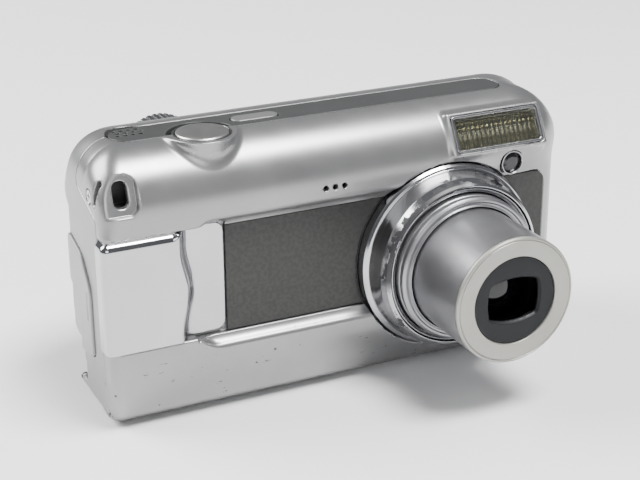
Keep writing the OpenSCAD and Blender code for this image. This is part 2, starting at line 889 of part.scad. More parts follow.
module zoom_rocker() {
  color("silver") difference() {
    union() {
      through(13.4, 16.5) rocker_outline(0);
      block([rocker_x - 1.5, 10.6, rocker_z - 1.5], [rocker_x + 1.5, 13.5, rocker_z + 1.5]);
    }
    across(rocker_x - 5, rocker_x + 5) translate([11.8, rocker_z]) circle(0.5 + running_gap);
  }
}

module direction_pad() {
  color("silver") through(13.7, 16.5) translate([pad_x, pad_z]) difference() {
    circle(pad_r);
    circle(set_r + 0.35);
  }
}

module pad_pivot() {
  color("dimgray") through(12.3, 12.9) translate([pad_x, pad_z]) difference() {
    circle(pad_r - 1);
    circle(set_r);
  }
}

module set_button() {
  color("silver") through(12.1, 16.7) translate([pad_x, pad_z]) circle(set_r - 0.15);
}

module round_button(x, z) {
  color("silver") through(12.1, rear_y + 0.5) translate([x, z]) circle(small_button_r);
}

module print_button() { round_button(side_button_x, print_z); }
module playback_button() { round_button(side_button_x, play_z); }

module oval_button(x) {
  color("silver") through(12.1, rear_y + 0.4) translate([x, oval_button_z]) pill(oval_button_w, oval_button_h);
}

module display_button() { oval_button(disp_x); }
module menu_button() { oval_button(menu_x); }

module button_frame() {
  color("black") difference() {
    union() {
      block([-44.6, 10.2, 4.6], [-13.8, 11, 46]);
      for (z = [37.6, 35.2]) through(10.9, 15.4) translate([side_button_x, z]) circle(0.5);
    }
    through(0, 20) translate([dial_x, dial_z]) circle(dial_r + 1.6);
    across(rocker_x - 2.05, rocker_x + 2.05) translate([11.8, rocker_z]) circle(1.9);
  }
  color("black") for (side = [-1, 1]) {
    block([rocker_x + side * 2.6 - 0.5, 10.6, rocker_z - 1.3], [rocker_x + side * 2.6 + 0.5, 12.4, rocker_z + 1.3]);
  }
  color("silver") across(rocker_x - 2.7, rocker_x + 2.7) translate([11.8, rocker_z]) circle(0.5);
}

// ---------------------------------------------------------------- screen and electronics

// Stepped recess for the screen window.
module screen_recess() {
  through(rear_y - 0.85, far) soft_rect([screen_left, screen_low], [screen_right, screen_high], [2, 2, 2, 2]);
  through(0, far) soft_rect([screen_left + 1.2, screen_low + 1], [screen_right - 1.2, screen_high - 1], [1, 1, 1, 1]);
}

module screen_window() {
  color("black") intersection() {
    through(rear_y - 0.8, rear_y - 0.05) soft_rect([screen_left + plate_gap, screen_low + plate_gap],
      [screen_right - plate_gap, screen_high - plate_gap], [2, 2, 2, 2]);
    body_form(0);
  }
}

module screen_module() {
  color("lightgray") block([screen_left + 1.6, 8.6, screen_low + 1.2], [screen_right - 1.8, 12.6, screen_high - 1.2]);
}

module main_board() {
  color("seagreen") difference() {
    block([-46, 4.8, 4.6], [1.6, 5.8, 48]);
    screw_holes(1.6);
  }
  color("black") {
    for (z = [11, 22]) block([-26, 5.8, z], [-16, 6.3, z + 9]);
    block([-43, 5.8, 30], [-36, 6.3, 37]);
  }
  color("silver") {
    difference() {
      block([-50.2, jack_y - 1.75, usb_z], [-42.6, 4.8, usb_z + 7.7]);
      block([-51, jack_y - 1.35, usb_z + 0.4], [-43.2, jack_y + 1.35, usb_z + 7.3]);
    }
    difference() {
      across(-50.2, -43) translate([jack_y, dc_z]) square(3.6, center = true);
      across(-51, -44) translate([jack_y, dc_z]) circle(1.3);
      block([-60, 4.8, 0], [0, 10, 60]);
    }
    across(-49, -43.5) translate([jack_y, dc_z]) circle(0.4);
  }
}

module chassis() {
  color("slategray") difference() {
    block([-46, 6.5, 4.2], [48, 7.1, 47]);
    through(0, 20) translate([dial_x, dial_z]) circle(dial_r + 1.8);
    for (x = [-40, -5, 44]) through(0, 20) translate([x, 8]) circle(1.2);
    block([8, 0, -1], [33, 20, 8.5]);
    screw_holes(1.6);
  }
}

module battery_box() {
  top = cell_low_z + cell_pitch + cell_r + 0.4;
  color("black") difference() {
    block([-51, -14, 6.5], [lens_x - housing_r - 0.15, 0.92, top + 0.7]);
    block([-50.3, -20, 0], [1.75, 0.5, top]);
    difference() {
      block([-60, -30, -10], [10, 5, 60]);
      body_form(wall + 0.1);
    }
  }
}

module batteries() {
  for (k = [0:1]) {
    z = cell_low_z + k * cell_pitch;
    flip = k == 0 ? 0 : 180;
    color("goldenrod") translate([cell_left + cell_length / 2, cell_y, z]) rotate([0, 90 + flip, 0]) {
      translate([0, 0, -cell_length / 2]) cylinder(r = cell_r, h = cell_length - 1.2);
      translate([0, 0, cell_length / 2 - 1.3]) cylinder(r = 2.7, h = 1.3);
    }
  }
}

module memory_card() {
  color("midnightblue") through(card_y, card_y + card_thick) polygon([
    [card_left, card_z], [card_left + card_w, card_z], [card_left + card_w, card_z + card_h - 4],
    [card_left + card_w - 4, card_z + card_h], [card_left, card_z + card_h]
  ]);
}

module battery_door() {
  corner = [body_left + 4.5, 4.5];
  out = (door_pin - corner) / norm(door_pin - corner);
  along = [out[1], -out[0]];
  color("silver") difference() {
    union() {
      intersection() {
        difference() {
          body_form(0);
          body_form(wall);
        }
        block([-far, door_front, -2], [door_right, door_back, door_top]);
        through(-far, far) polygon([
          door_pin + 10 * out, door_pin + 10 * out - far * along,
          door_pin - 60 * out - far * along, door_pin - 60 * out
        ]);
      }
      through(door_front, door_back) translate(door_pin) circle(door_barrel_r);
    }
    through(-20, 20) translate(door_pin) circle(door_pin_r + running_gap);
    for (y = door_arm_ys) {
      block([door_pin[0] - 1, y - 0.15, 1.75], [door_pin[0] + 1.4, y + 0.85, 5]);
      through(y - 0.15, y + 0.85) translate(door_pin) circle(door_barrel_r + 0.02);
    }
  }
}

module door_slide() {
  color("silver") {
    through(door_front + 0.6, door_back - 0.5) translate(door_pin) circle(door_pin_r);
    for (y = door_arm_ys) block([door_pin[0], y, 1.97], [-22, y + 0.7, 2.63]);
  }
}

// Outline (Y, Z) of the rubber cover over the jacks, grown by gap.
module terminal_outline(gap) {
  polygon([
    [-9 - gap, 13 - gap], [-2, 11.6 - gap], [5.4 + gap, 13.4 - gap], [5.4 + gap, 33 + gap],
    [3, 34.6 + gap], [-4.6 - gap, 32.6 + gap], [-9 - gap, 27 + gap]
  ]);
}

module terminal_cover() {
  color("gray") difference() {
    intersection() {
      across(-52.4, -45) terminal_outline(0);
      upright(-1, far) translate([-39.8, 3.7]) union() {
        circle(12.6);
        translate([-13, -30]) square([13, 30]);
      }
    }
    body_form(0.6);
  }
}

module tripod_socket() {
  color("silver") translate([lens_x, socket_y, 0]) difference() {
    cylinder(r = socket_outer_r - 0.02, h = 5.8);
    translate([0, 0, -1]) cylinder(r = socket_r, h = socket_depth + 1);
  }
}

front_cover();
rear_cover();
top_panel();
left_panel();
right_panel();
grip_plate();
lens_surround();
lens_ring();
ring_insert();
lens_housing();
cam_ring();
middle_tube();
front_barrel();
face_ring();
aperture_disc();
front_lens();
rear_lens();
upper_inner_blade();
upper_outer_blade();
lower_inner_blade();
lower_outer_blade();
idler_gear();
motor_pinion();
zoom_motor();
focus_carrier();
focus_screw();
focus_motor();
image_sensor();
case_screws();
flash_bezel();
flash_window();
flash_reflector();
flash_tube();
flash_capacitor();
focus_lamp();
microphone();
speaker();
shutter_button();
power_button();
mode_dial();
zoom_rocker();
direction_pad();
pad_pivot();
set_button();
button_frame();
print_button();
playback_button();
display_button();
menu_button();
screen_window();
screen_module();
main_board();
chassis();
battery_box();
batteries();
memory_card();
battery_door();
door_slide();
terminal_cover();
tripod_socket();
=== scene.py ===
"""Looks of a compact digital camera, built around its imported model. Shapes are in millimetres inside
this file and become metres when a mesh is made."""

import logging
import math
from dataclasses import dataclass, field
from enum import Enum
from typing import Callable, Iterable, Sequence, Union

import bpy
import numpy as np
from mathutils import Matrix, Vector


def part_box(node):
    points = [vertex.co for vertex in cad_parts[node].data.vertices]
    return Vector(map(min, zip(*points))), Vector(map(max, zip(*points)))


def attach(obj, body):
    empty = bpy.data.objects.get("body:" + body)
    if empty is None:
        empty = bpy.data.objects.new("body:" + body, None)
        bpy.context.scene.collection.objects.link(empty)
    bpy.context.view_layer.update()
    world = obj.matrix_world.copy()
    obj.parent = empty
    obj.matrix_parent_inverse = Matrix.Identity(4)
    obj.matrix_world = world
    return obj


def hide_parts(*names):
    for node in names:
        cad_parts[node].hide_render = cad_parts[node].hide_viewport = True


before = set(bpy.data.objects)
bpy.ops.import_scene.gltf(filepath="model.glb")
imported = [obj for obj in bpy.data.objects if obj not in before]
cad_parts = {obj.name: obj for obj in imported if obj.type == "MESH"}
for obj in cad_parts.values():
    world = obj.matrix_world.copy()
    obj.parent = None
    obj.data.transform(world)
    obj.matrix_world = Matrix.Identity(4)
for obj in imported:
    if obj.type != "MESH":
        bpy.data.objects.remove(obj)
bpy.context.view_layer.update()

LOG = logging.getLogger("camera")
MM = 0.001
FAR = 80.0
LENS_AXIS = (20.4, 24.4)
Point = tuple[float, float, float]
Array = np.ndarray


# ------------------------------------------------------------------ measures taken from the imported nodes

def node_box(node: str) -> tuple[Array, Array]:
    """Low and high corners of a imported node, in millimetres.

    Args:
        node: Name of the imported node.

    Returns:
        The two corners as arrays.
    """
    low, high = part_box(node)
    return np.array(low) / MM, np.array(high) / MM


def node_middle(node: str) -> Array:
    """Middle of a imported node's box, in millimetres."""
    low, high = node_box(node)
    return (low + high) / 2


# ------------------------------------------------------------------ solids as distance fields

Distance = Callable[[Array, Array, Array], Array]


@dataclass(frozen=True)
class Solid:
    """A solid as a signed distance: negative inside, in millimetres.

    Attributes:
        at: Distance of points given by their x, y and z arrays.
    """

    at: Distance

    def meet(self, other: "Solid", edge: float = 0.0) -> "Solid":
        """What both solids share, with its new edges rounded off to a radius of edge."""
        return Solid(lambda x, y, z: round_max(self.at(x, y, z), other.at(x, y, z), edge))

    def join(self, other: "Solid", edge: float = 0.0) -> "Solid":
        """Both solids together, with the inner corner filled to a radius of edge."""
        return Solid(lambda x, y, z: -round_max(-self.at(x, y, z), -other.at(x, y, z), edge))

    def cut(self, other: "Solid", edge: float = 0.0) -> "Solid":
        """This solid without the other, with the rim rounded off to a radius of edge."""
        return Solid(lambda x, y, z: round_max(self.at(x, y, z), -other.at(x, y, z), edge))

    def __and__(self, other: "Solid") -> "Solid":
        """Sharp intersection."""
        return self.meet(other)

    def __or__(self, other: "Solid") -> "Solid":
        """Sharp union."""
        return self.join(other)

    def __sub__(self, other: "Solid") -> "Solid":
        """Sharp difference."""
        return self.cut(other)

    def grown(self, by: float) -> "Solid":
        """This solid with its surface moved outwards."""
        return Solid(lambda x, y, z: self.at(x, y, z) - by)

    def moved(self, matrix: Matrix) -> "Solid":
        """This solid placed by a rigid 4 by 4 matrix."""
        back = np.array(matrix.inverted())

        def at(x: Array, y: Array, z: Array) -> Array:
            """Distance in the placed frame."""
            return self.at(*(row[0] * x + row[1] * y + row[2] * z + row[3] for row in back[:3]))

        return Solid(at)


def round_max(a: Array, b: Array, radius: Union[float, Array]) -> Array:
    """Larger of two distances, with the crease between them rounded.

    Args:
        a: First distance.
        b: Second distance.
        radius: Radius of the rounding, one number or one for each point.

    Returns:
        The combined distance.
    """
    if isinstance(radius, float) and radius <= 0.0:
        return np.maximum(a, b)
    u, v = np.maximum(a + radius, 0), np.maximum(b + radius, 0)
    return np.minimum(-radius, np.maximum(a, b)) + np.sqrt(u * u + v * v)


def box(low: Sequence[float], high: Sequence[float], edge: float = 0.0) -> Solid:
    """Box between two corners.

    Args:
        low: Lowest corner.
        high: Highest corner.
        edge: Radius of all its edges.

    Returns:
        The solid.
    """
    middle = [(a + b) / 2 for a, b in zip(low, high)]
    half = [max((b - a) / 2 - edge, 0.0) for a, b in zip(low, high)]

    def at(x: Array, y: Array, z: Array) -> Array:
        """Distance to the rounded box."""
        qx, qy, qz = (np.abs(v - m) - h for v, m, h in zip((x, y, z), middle, half))
        out = np.sqrt(np.maximum(qx, 0) ** 2 + np.maximum(qy, 0) ** 2 + np.maximum(qz, 0) ** 2)
        return out + np.minimum(np.maximum(qx, np.maximum(qy, qz)), 0) - edge

    return Solid(at)


def rod(axis: int, middle: Sequence[float], radius: float, start: float, end: float,
        edge: float = 0.0) -> Solid:
    """Round rod along one axis.

    Args:
        axis: 0, 1 or 2 for X, Y or Z.
        middle: The two other coordinates of its axis, in X, Y, Z order.
        radius: Its radius.
        start: Where it starts along the axis.
        end: Where it ends.
        edge: Radius of its two rims.

    Returns:
        The solid.
    """
    def at(x: Array, y: Array, z: Array) -> Array:
        """Distance to the rod."""
        along = (x, y, z)[axis]
        u, v = [c for i, c in enumerate((x, y, z)) if i != axis]
        side = np.hypot(u - middle[0], v - middle[1]) - radius
        return round_max(side, np.abs(along - (start + end) / 2) - (end - start) / 2, edge)

    return Solid(at)


def pill(axis: int, middle: Sequence[float], size: Sequence[float], start: float, end: float,
         corner: float, edge: float = 0.0) -> Solid:
    """Rounded rectangle extruded along one axis.

    Args:
        axis: Extrusion axis.
        middle: Its middle in the two other coordinates, in X, Y, Z order.
        size: Its whole size in those two.
        start: Where it starts along the axis.
        end: Where it ends.
        corner: Radius of the rectangle's corners.
        edge: Radius of the rims.

    Returns:
        The solid.
    """
    def at(x: Array, y: Array, z: Array) -> Array:
        """Distance to the extruded outline."""
        along = (x, y, z)[axis]
        u, v = [c for i, c in enumerate((x, y, z)) if i != axis]
        qu = np.abs(u - middle[0]) - size[0] / 2 + corner
        qv = np.abs(v - middle[1]) - size[1] / 2 + corner
        side = np.hypot(np.maximum(qu, 0), np.maximum(qv, 0)) + np.minimum(np.maximum(qu, qv), 0) - corner
        return round_max(side, np.abs(along - (start + end) / 2) - (end - start) / 2, edge)

    return Solid(at)


def wedge(planes: Iterable[tuple[Sequence[float], float]], edge: float = 0.0) -> Solid:
    """Convex solid behind several planes.

    Args:
        planes: For each plane, its outward normal and its distance from the origin along it.
        edge: Radius of the edges between successive planes.

    Returns:
        The solid.
    """
    ready = []
    for normal, far in planes:
        length = math.sqrt(sum(n * n for n in normal))
        ready.append(([n / length for n in normal], far / length))

    def at(x: Array, y: Array, z: Array) -> Array:
        """Distance to the nearest plane, rounded where planes meet."""
        result = None
        for n, far in ready:
            d = n[0] * x + n[1] * y + n[2] * z - far
            result = d if result is None else round_max(result, d, edge)
        return result

    return Solid(at)


@dataclass(frozen=True)
class Mesher:
    """Turns a distance field into a mesh of quads laid on its surface.

    Attributes:
        cell: Size of the sampling cells in millimetres.
        block: Cells along the side of one sampling block.
        keep: Share of the faces that stay after thinning; 1 leaves all.
    """

    cell: float = 0.35
    block: int = 8
    keep: float = 1.0

    def samples(self, solid: Solid, low: Array, count: Array) -> Array:
        """Samples the field on a regular grid, only near its surface.

        Args:
            solid: The solid.
            low: Lowest corner of the grid.
            count: Grid points along X, Y and Z.

        Returns:
            Distances at the grid points.
        """
        blocks = (count - 1) // self.block
        side = self.block * self.cell
        centres = [low[i] + (np.arange(blocks[i]) + 0.5) * side for i in range(3)]
        mesh = np.meshgrid(*centres, indexing="ij")
        coarse = solid.at(*(m.ravel() for m in mesh)).reshape(blocks)
        values = np.full(count, 1.0)
        spread = np.where(coarse < 0, -1.0, 1.0)
        for axis in range(3):
            spread = np.repeat(spread, self.block, axis)
        values[:-1, :-1, :-1] = spread
        near = np.argwhere(np.abs(coarse) < side + self.cell)
        steps = np.arange(self.block + 1)
        offsets = np.stack(np.meshgrid(steps, steps, steps, indexing="ij"), -1).reshape(-1, 3)
        for start in range(0, len(near), 1500):
            points = (near[start:start + 1500, None, :] * self.block + offsets[None]).reshape(-1, 3)
            values[tuple(points.T)] = solid.at(*(low + points * self.cell).T)
        values[:, :, -1] = values[:, -1, :] = values[-1, :, :] = 1.0
        return values

    def surface(self, solid: Solid, low: Sequence[float], high: Sequence[float]) -> tuple[Array, Array]:
        """Finds the surface's points and quads inside a box.

        Args:
            solid: The solid.
            low: Lowest corner of the searched box.
            high: Highest corner of the searched box.

        Returns:
            Points in millimetres, and quads as rows of four point numbers.
        """
        base = np.array(low, float) - 1.5 * self.cell
        span = np.array(high, float) + 1.5 * self.cell - base
        count = np.ceil(span / self.cell / self.block).astype(int) * self.block + 1
        values = self.samples(solid, base, count)
        inside = values < 0
        corners = np.array([(i & 1, i >> 1 & 1, i >> 2 & 1) for i in range(8)])
        total = np.zeros(tuple(count - 1), np.uint8)
        for a, b, c in corners:
            total += inside[a:count[0] - 1 + a, b:count[1] - 1 + b, c:count[2] - 1 + c]
        mixed = (total > 0) & (total < 8)
        cells = np.argwhere(mixed)
        number = np.full(tuple(count - 1), -1, np.int64)
        number[mixed] = np.arange(len(cells))
        at_corner = [values[tuple((cells + c).T)] for c in corners]
        place, hits = np.zeros((len(cells), 3)), np.zeros(len(cells))
        for i in range(8):
            for j in range(i + 1, 8):
                step = corners[j] - corners[i]
                if np.abs(step).sum() == 1:
                    crossed = (at_corner[i] < 0) != (at_corner[j] < 0)
                    drop = np.where(crossed, at_corner[i] - at_corner[j], 1)
                    share = np.where(crossed, at_corner[i] / drop, 0)
                    place += crossed[:, None] * (corners[i] + share[:, None] * step)
                    hits += crossed
        points = base + (cells + place / hits[:, None]) * self.cell
        return points, self.quads(inside, number, count)

    def quads(self, inside: Array, number: Array, count: Array) -> Array:
        """Joins the surface points round each grid edge that crosses the surface.

        Args:
            inside: Whether each grid point is inside.
            number: Point number of each cell, or -1.
            count: Grid points along each axis.

        Returns:
            The quads.
        """
        found = []
        for axis in range(3):
            first, second = [slice(None)] * 3, [slice(None)] * 3
            first[axis], second[axis] = slice(0, count[axis] - 1), slice(1, count[axis])
            here = inside[tuple(first)]
            edges = np.argwhere(here != inside[tuple(second)])
            u, v = (axis + 1) % 3, (axis + 2) % 3
            above = (edges[:, u] > 0) & (edges[:, v] > 0)
            below = (edges[:, u] < count[u] - 1) & (edges[:, v] < count[v] - 1)
            edges = edges[above & below]
            du, dv = np.eye(3, dtype=int)[u], np.eye(3, dtype=int)[v]
            ring = np.stack([number[tuple((edges - s).T)] for s in (du + dv, dv, 0 * du, du)], 1)
            outward = ~here[tuple(edges.T)]
            ring[outward] = ring[outward][:, ::-1]
            found.append(ring)
        return np.concatenate(found)

    def slope(self, solid: Solid, points: Array, step: float = 0.02) -> Array:
        """Gradient of the field at points."""
        result = np.zeros_like(points)
        for i in range(3):
            shift = np.zeros(3)
            shift[i] = step
            result[:, i] = solid.at(*(points + shift).T) - solid.at(*(points - shift).T)
        return result / (2 * step)

    def settled(self, solid: Solid, points: Array, rounds: int = 3) -> Array:
        """Moves points onto the surface.

        Args:
            solid: The solid.
            points: Points near its surface.
            rounds: Newton steps.

        Returns:
            The moved points.
        """
        for _ in range(rounds):
            slope = self.slope(solid, points)
            size = np.maximum((slope * slope).sum(1), 0.2)
            move = (solid.at(*points.T) / size)[:, None] * slope
            length = np.maximum(np.linalg.norm(move, axis=1), 1e-9)
            points = points - move * np.minimum(1, 0.7 * self.cell / length)[:, None]
        return points

    def build(self, name: str, solid: Solid, low: Sequence[float], high: Sequence[float]) -> bpy.types.Object:
        """Makes the mesh object of a solid.

        Args:
            name: Name of the piece.
            solid: The solid, in millimetres.
            low: Lowest corner of its box.
            high: Highest corner of its box.

        Returns:
            The object, with smooth normals taken from the field and its edge sharpness as an attribute.
        """
        points, faces = self.surface(solid, low, high)
        points = self.settled(solid, points)
        mesh = mesh_from(name, points, faces)
        piece = link(name, mesh)
        if self.keep < 1.0:
            thin(piece, self.keep)
            points = self.settled(solid, read_points(piece.data), 2)
            piece.data.vertices.foreach_set("co", (points * MM).ravel())
        slope = self.slope(solid, points)
        normals = slope / np.maximum(np.linalg.norm(slope, axis=1), 1e-9)[:, None]
        reach = 0.5
        bend = (solid.at(*(points - reach * normals).T) + reach) / reach
        write_attribute(piece.data, "edge", np.clip(bend * 2.2, 0, 1))
        piece.data.normals_split_custom_set_from_vertices(normals.astype(np.float32))
        return piece


# ------------------------------------------------------------------ mesh helpers

def mesh_from(name: str, points: Array, faces: Iterable[Sequence[int]]) -> bpy.types.Mesh:
    """Mesh with smooth faces from points in millimetres.

    Args:
        name: Name of the mesh.
        points: Rows of x, y, z in millimetres.
        faces: Rows of point numbers.

    Returns:
        The mesh, in metres.
    """
    mesh = bpy.data.meshes.new(name)
    rows = faces.tolist() if isinstance(faces, np.ndarray) else list(faces)
    mesh.from_pydata((np.asarray(points, float) * MM).tolist(), [], rows)
    mesh.shade_smooth()
    mesh.update()
    return mesh


def link(name: str, mesh: bpy.types.Mesh) -> bpy.types.Object:
    """Puts a mesh into the scene as an object."""
    piece = bpy.data.objects.new(name, mesh)
    bpy.context.scene.collection.objects.link(piece)
    return piece


def read_points(mesh: bpy.types.Mesh) -> Array:
    """A mesh's points in millimetres."""
    flat = np.zeros(len(mesh.vertices) * 3)
    mesh.vertices.foreach_get("co", flat)
    return flat.reshape(-1, 3) / MM


def write_attribute(mesh: bpy.types.Mesh, name: str, values: Array) -> None:
    """Stores one number for each point of a mesh."""
    attribute = mesh.attributes.new(name, "FLOAT", "POINT")
    attribute.data.foreach_set("value", np.asarray(values, np.float32))


def apply_modifiers(piece: bpy.types.Object) -> None:
    """Replaces a piece's mesh by what its modifiers make of it."""
    graph = bpy.context.evaluated_depsgraph_get()
    mesh = bpy.data.meshes.new_from_object(piece.evaluated_get(graph))
    piece.modifiers.clear()
    old, piece.data = piece.data, mesh
    bpy.data.meshes.remove(old)


def thin(piece: bpy.types.Object, keep: float) -> None:
    """Drops faces where the surface is plain."""
    modifier = piece.modifiers.new("thin", "DECIMATE")
    modifier.ratio = keep
    apply_modifiers(piece)
    piece.data.shade_smooth()


def piece_on(piece: bpy.types.Object, body: str, material: bpy.types.Material,
             stands_for: Sequence[str] = ()) -> bpy.types.Object:
    """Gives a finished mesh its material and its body.

    Args:
        piece: The object.
        body: Name of the body it moves with.
        material: Its material.
        stands_for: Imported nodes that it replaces.

    Returns:
        The same object.
    """
    piece.data.materials.clear()
    piece.data.materials.append(material)
    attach(piece, body)
    if stands_for:
        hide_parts(*stands_for)
    LOG.info("%s: %d faces on %s", piece.name, len(piece.data.polygons), body)
    return piece


class Facing(Enum):
    """Direction in which a turned piece points, as its axis and the two directions round it."""

    FRONT = ((0, -1, 0), (1, 0, 0), (0, 0, 1))
    TOP = ((0, 0, 1), (1, 0, 0), (0, 1, 0))


@dataclass(frozen=True)
class Turned:
    """A solid of revolution drawn by its half section.

    Attributes:
        profile: Corners as radius, height along the axis, and fillet radius, in millimetres.
        closed: Whether the last corner joins the first; otherwise the ends lie on the axis.
        steps: Points round the circle.
    """

    profile: tuple[tuple[float, float, float], ...]
    closed: bool = True
    steps: int = 160

    def rounded(self) -> Array:
        """Profile points with the corners filleted."""
        corners = self.profile
        count = len(corners)
        points = []
        for i, (r, h, fillet) in enumerate(corners):
            here = np.array([r, h])
            if fillet <= 0 or (not self.closed and i in (0, count - 1)):
                points.append(here)
                continue
            back = np.array(corners[i - 1][:2]) - here
            ahead = np.array(corners[(i + 1) % count][:2]) - here
            lengths = np.linalg.norm(back), np.linalg.norm(ahead)
            back, ahead = back / lengths[0], ahead / lengths[1]
            half = math.acos(max(-1.0, min(1.0, float(back @ ahead)))) / 2
            reach = min(fillet / math.tan(half), 0.45 * min(lengths))
            radius = reach * math.tan(half)
            centre = here + (back + ahead) / np.linalg.norm(back + ahead) * radius / math.sin(half)
            start, end = here + back * reach - centre, here + ahead * reach - centre
            turn = math.pi - 2 * half
            for k in range(6):
                share = k / 5
                mixed = start * math.sin((1 - share) * turn) + end * math.sin(share * turn)
                points.append(centre + mixed / max(math.sin(turn), 1e-6))
        return np.array(points)

    def build(self, name: str, facing: Facing, middle: Sequence[float]) -> bpy.types.Object:
        """Makes the mesh object.

        Args:
            name: Name of the piece.
            facing: Direction of its axis.
            middle: Point on the axis where the height is zero.

        Returns:
            The object.
        """
        outline = self.rounded()
        area = np.sum(outline[:, 0] * np.roll(outline[:, 1], -1) - np.roll(outline[:, 0], -1) * outline[:, 1])
        if area < 0:
            outline = outline[::-1]
        axis, side, up = (np.array(v, float) for v in facing.value)
        if np.cross(side, up) @ axis < 0:
            up = -up
        angles = np.arange(self.steps) * 2 * math.pi / self.steps
        round_dirs = np.cos(angles)[:, None] * side + np.sin(angles)[:, None] * up
        count = len(outline)
        step = np.roll(outline, -1, 0) - outline
        flat = np.stack([step[:, 1], -step[:, 0]], 1)
        if not self.closed:
            flat[-1] = 0
        blend = flat + np.roll(flat, 1, 0)
        blend /= np.maximum(np.linalg.norm(blend, axis=1), 1e-9)[:, None]
        points = outline[None, :, 0, None] * round_dirs[:, None, :] + outline[None, :, 1, None] * axis
        normals = blend[None, :, 0, None] * round_dirs[:, None, :] + blend[None, :, 1, None] * axis
        points = points + np.array(middle, float)
        faces = []
        for j in range(self.steps):
            k = (j + 1) % self.steps
            for i in range(count if self.closed else count - 1):
                n = (i + 1) % count
                faces.append((j * count + i, k * count + i, k * count + n, j * count + n))
        mesh = mesh_from(name, points.reshape(-1, 3), faces)
        write_attribute(mesh, "edge", np.tile(self.sharpness(outline), self.steps))
        mesh.normals_split_custom_set_from_vertices(normals.reshape(-1, 3).astype(np.float32))
        piece = link(name, mesh)
        if not self.closed:
            close_poles(piece)
        return piece

    def sharpness(self, outline: Array) -> Array:
        """How convex the profile is at each of its points, from 0 to 1."""
        ahead = np.roll(outline, -1, 0) - outline
        back = outline - np.roll(outline, 1, 0)
        turn = back[:, 0] * ahead[:, 1] - back[:, 1] * ahead[:, 0]
        size = np.maximum(np.linalg.norm(ahead, axis=1) * np.linalg.norm(back, axis=1), 1e-9)
        return np.clip(turn / size * 2.5, 0, 1)


def close_poles(piece: bpy.types.Object) -> None:
    """Merges the points that lie together on a turned piece's axis."""
    modifier = piece.modifiers.new("poles", "WELD")
    modifier.merge_threshold = 2e-6
    apply_modifiers(piece)


# ------------------------------------------------------------------ shader graphs

class Wire:
    """A shader value, on which sums are written as ordinary expressions."""

    def __init__(self, graph: "Graph", socket: bpy.types.NodeSocket) -> None:
        """Wraps an output socket of a graph."""
        self.graph = graph
        self.socket = socket

    def __add__(self, other: "Value") -> "Wire":
        """Sum."""
        return self.graph.math("ADD", self, other)

    __radd__ = __add__

    def __sub__(self, other: "Value") -> "Wire":
        """Difference."""
        return self.graph.math("SUBTRACT", self, other)

    def __rsub__(self, other: "Value") -> "Wire":
        """Difference from a number."""
        return self.graph.math("SUBTRACT", other, self)

    def __mul__(self, other: "Value") -> "Wire":
        """Product."""
        return self.graph.math("MULTIPLY", self, other)

    __rmul__ = __mul__

    def __truediv__(self, other: "Value") -> "Wire":
        """Quotient."""
        return self.graph.math("DIVIDE", self, other)

    def __gt__(self, other: "Value") -> "Wire":
        """One where this is the greater, else zero."""
        return self.graph.math("GREATER_THAN", self, other)

    def __lt__(self, other: "Value") -> "Wire":
        """One where this is the lesser, else zero."""
        return self.graph.math("LESS_THAN", self, other)


Value = Union[Wire, float, int]
Colour = tuple[float, float, float]


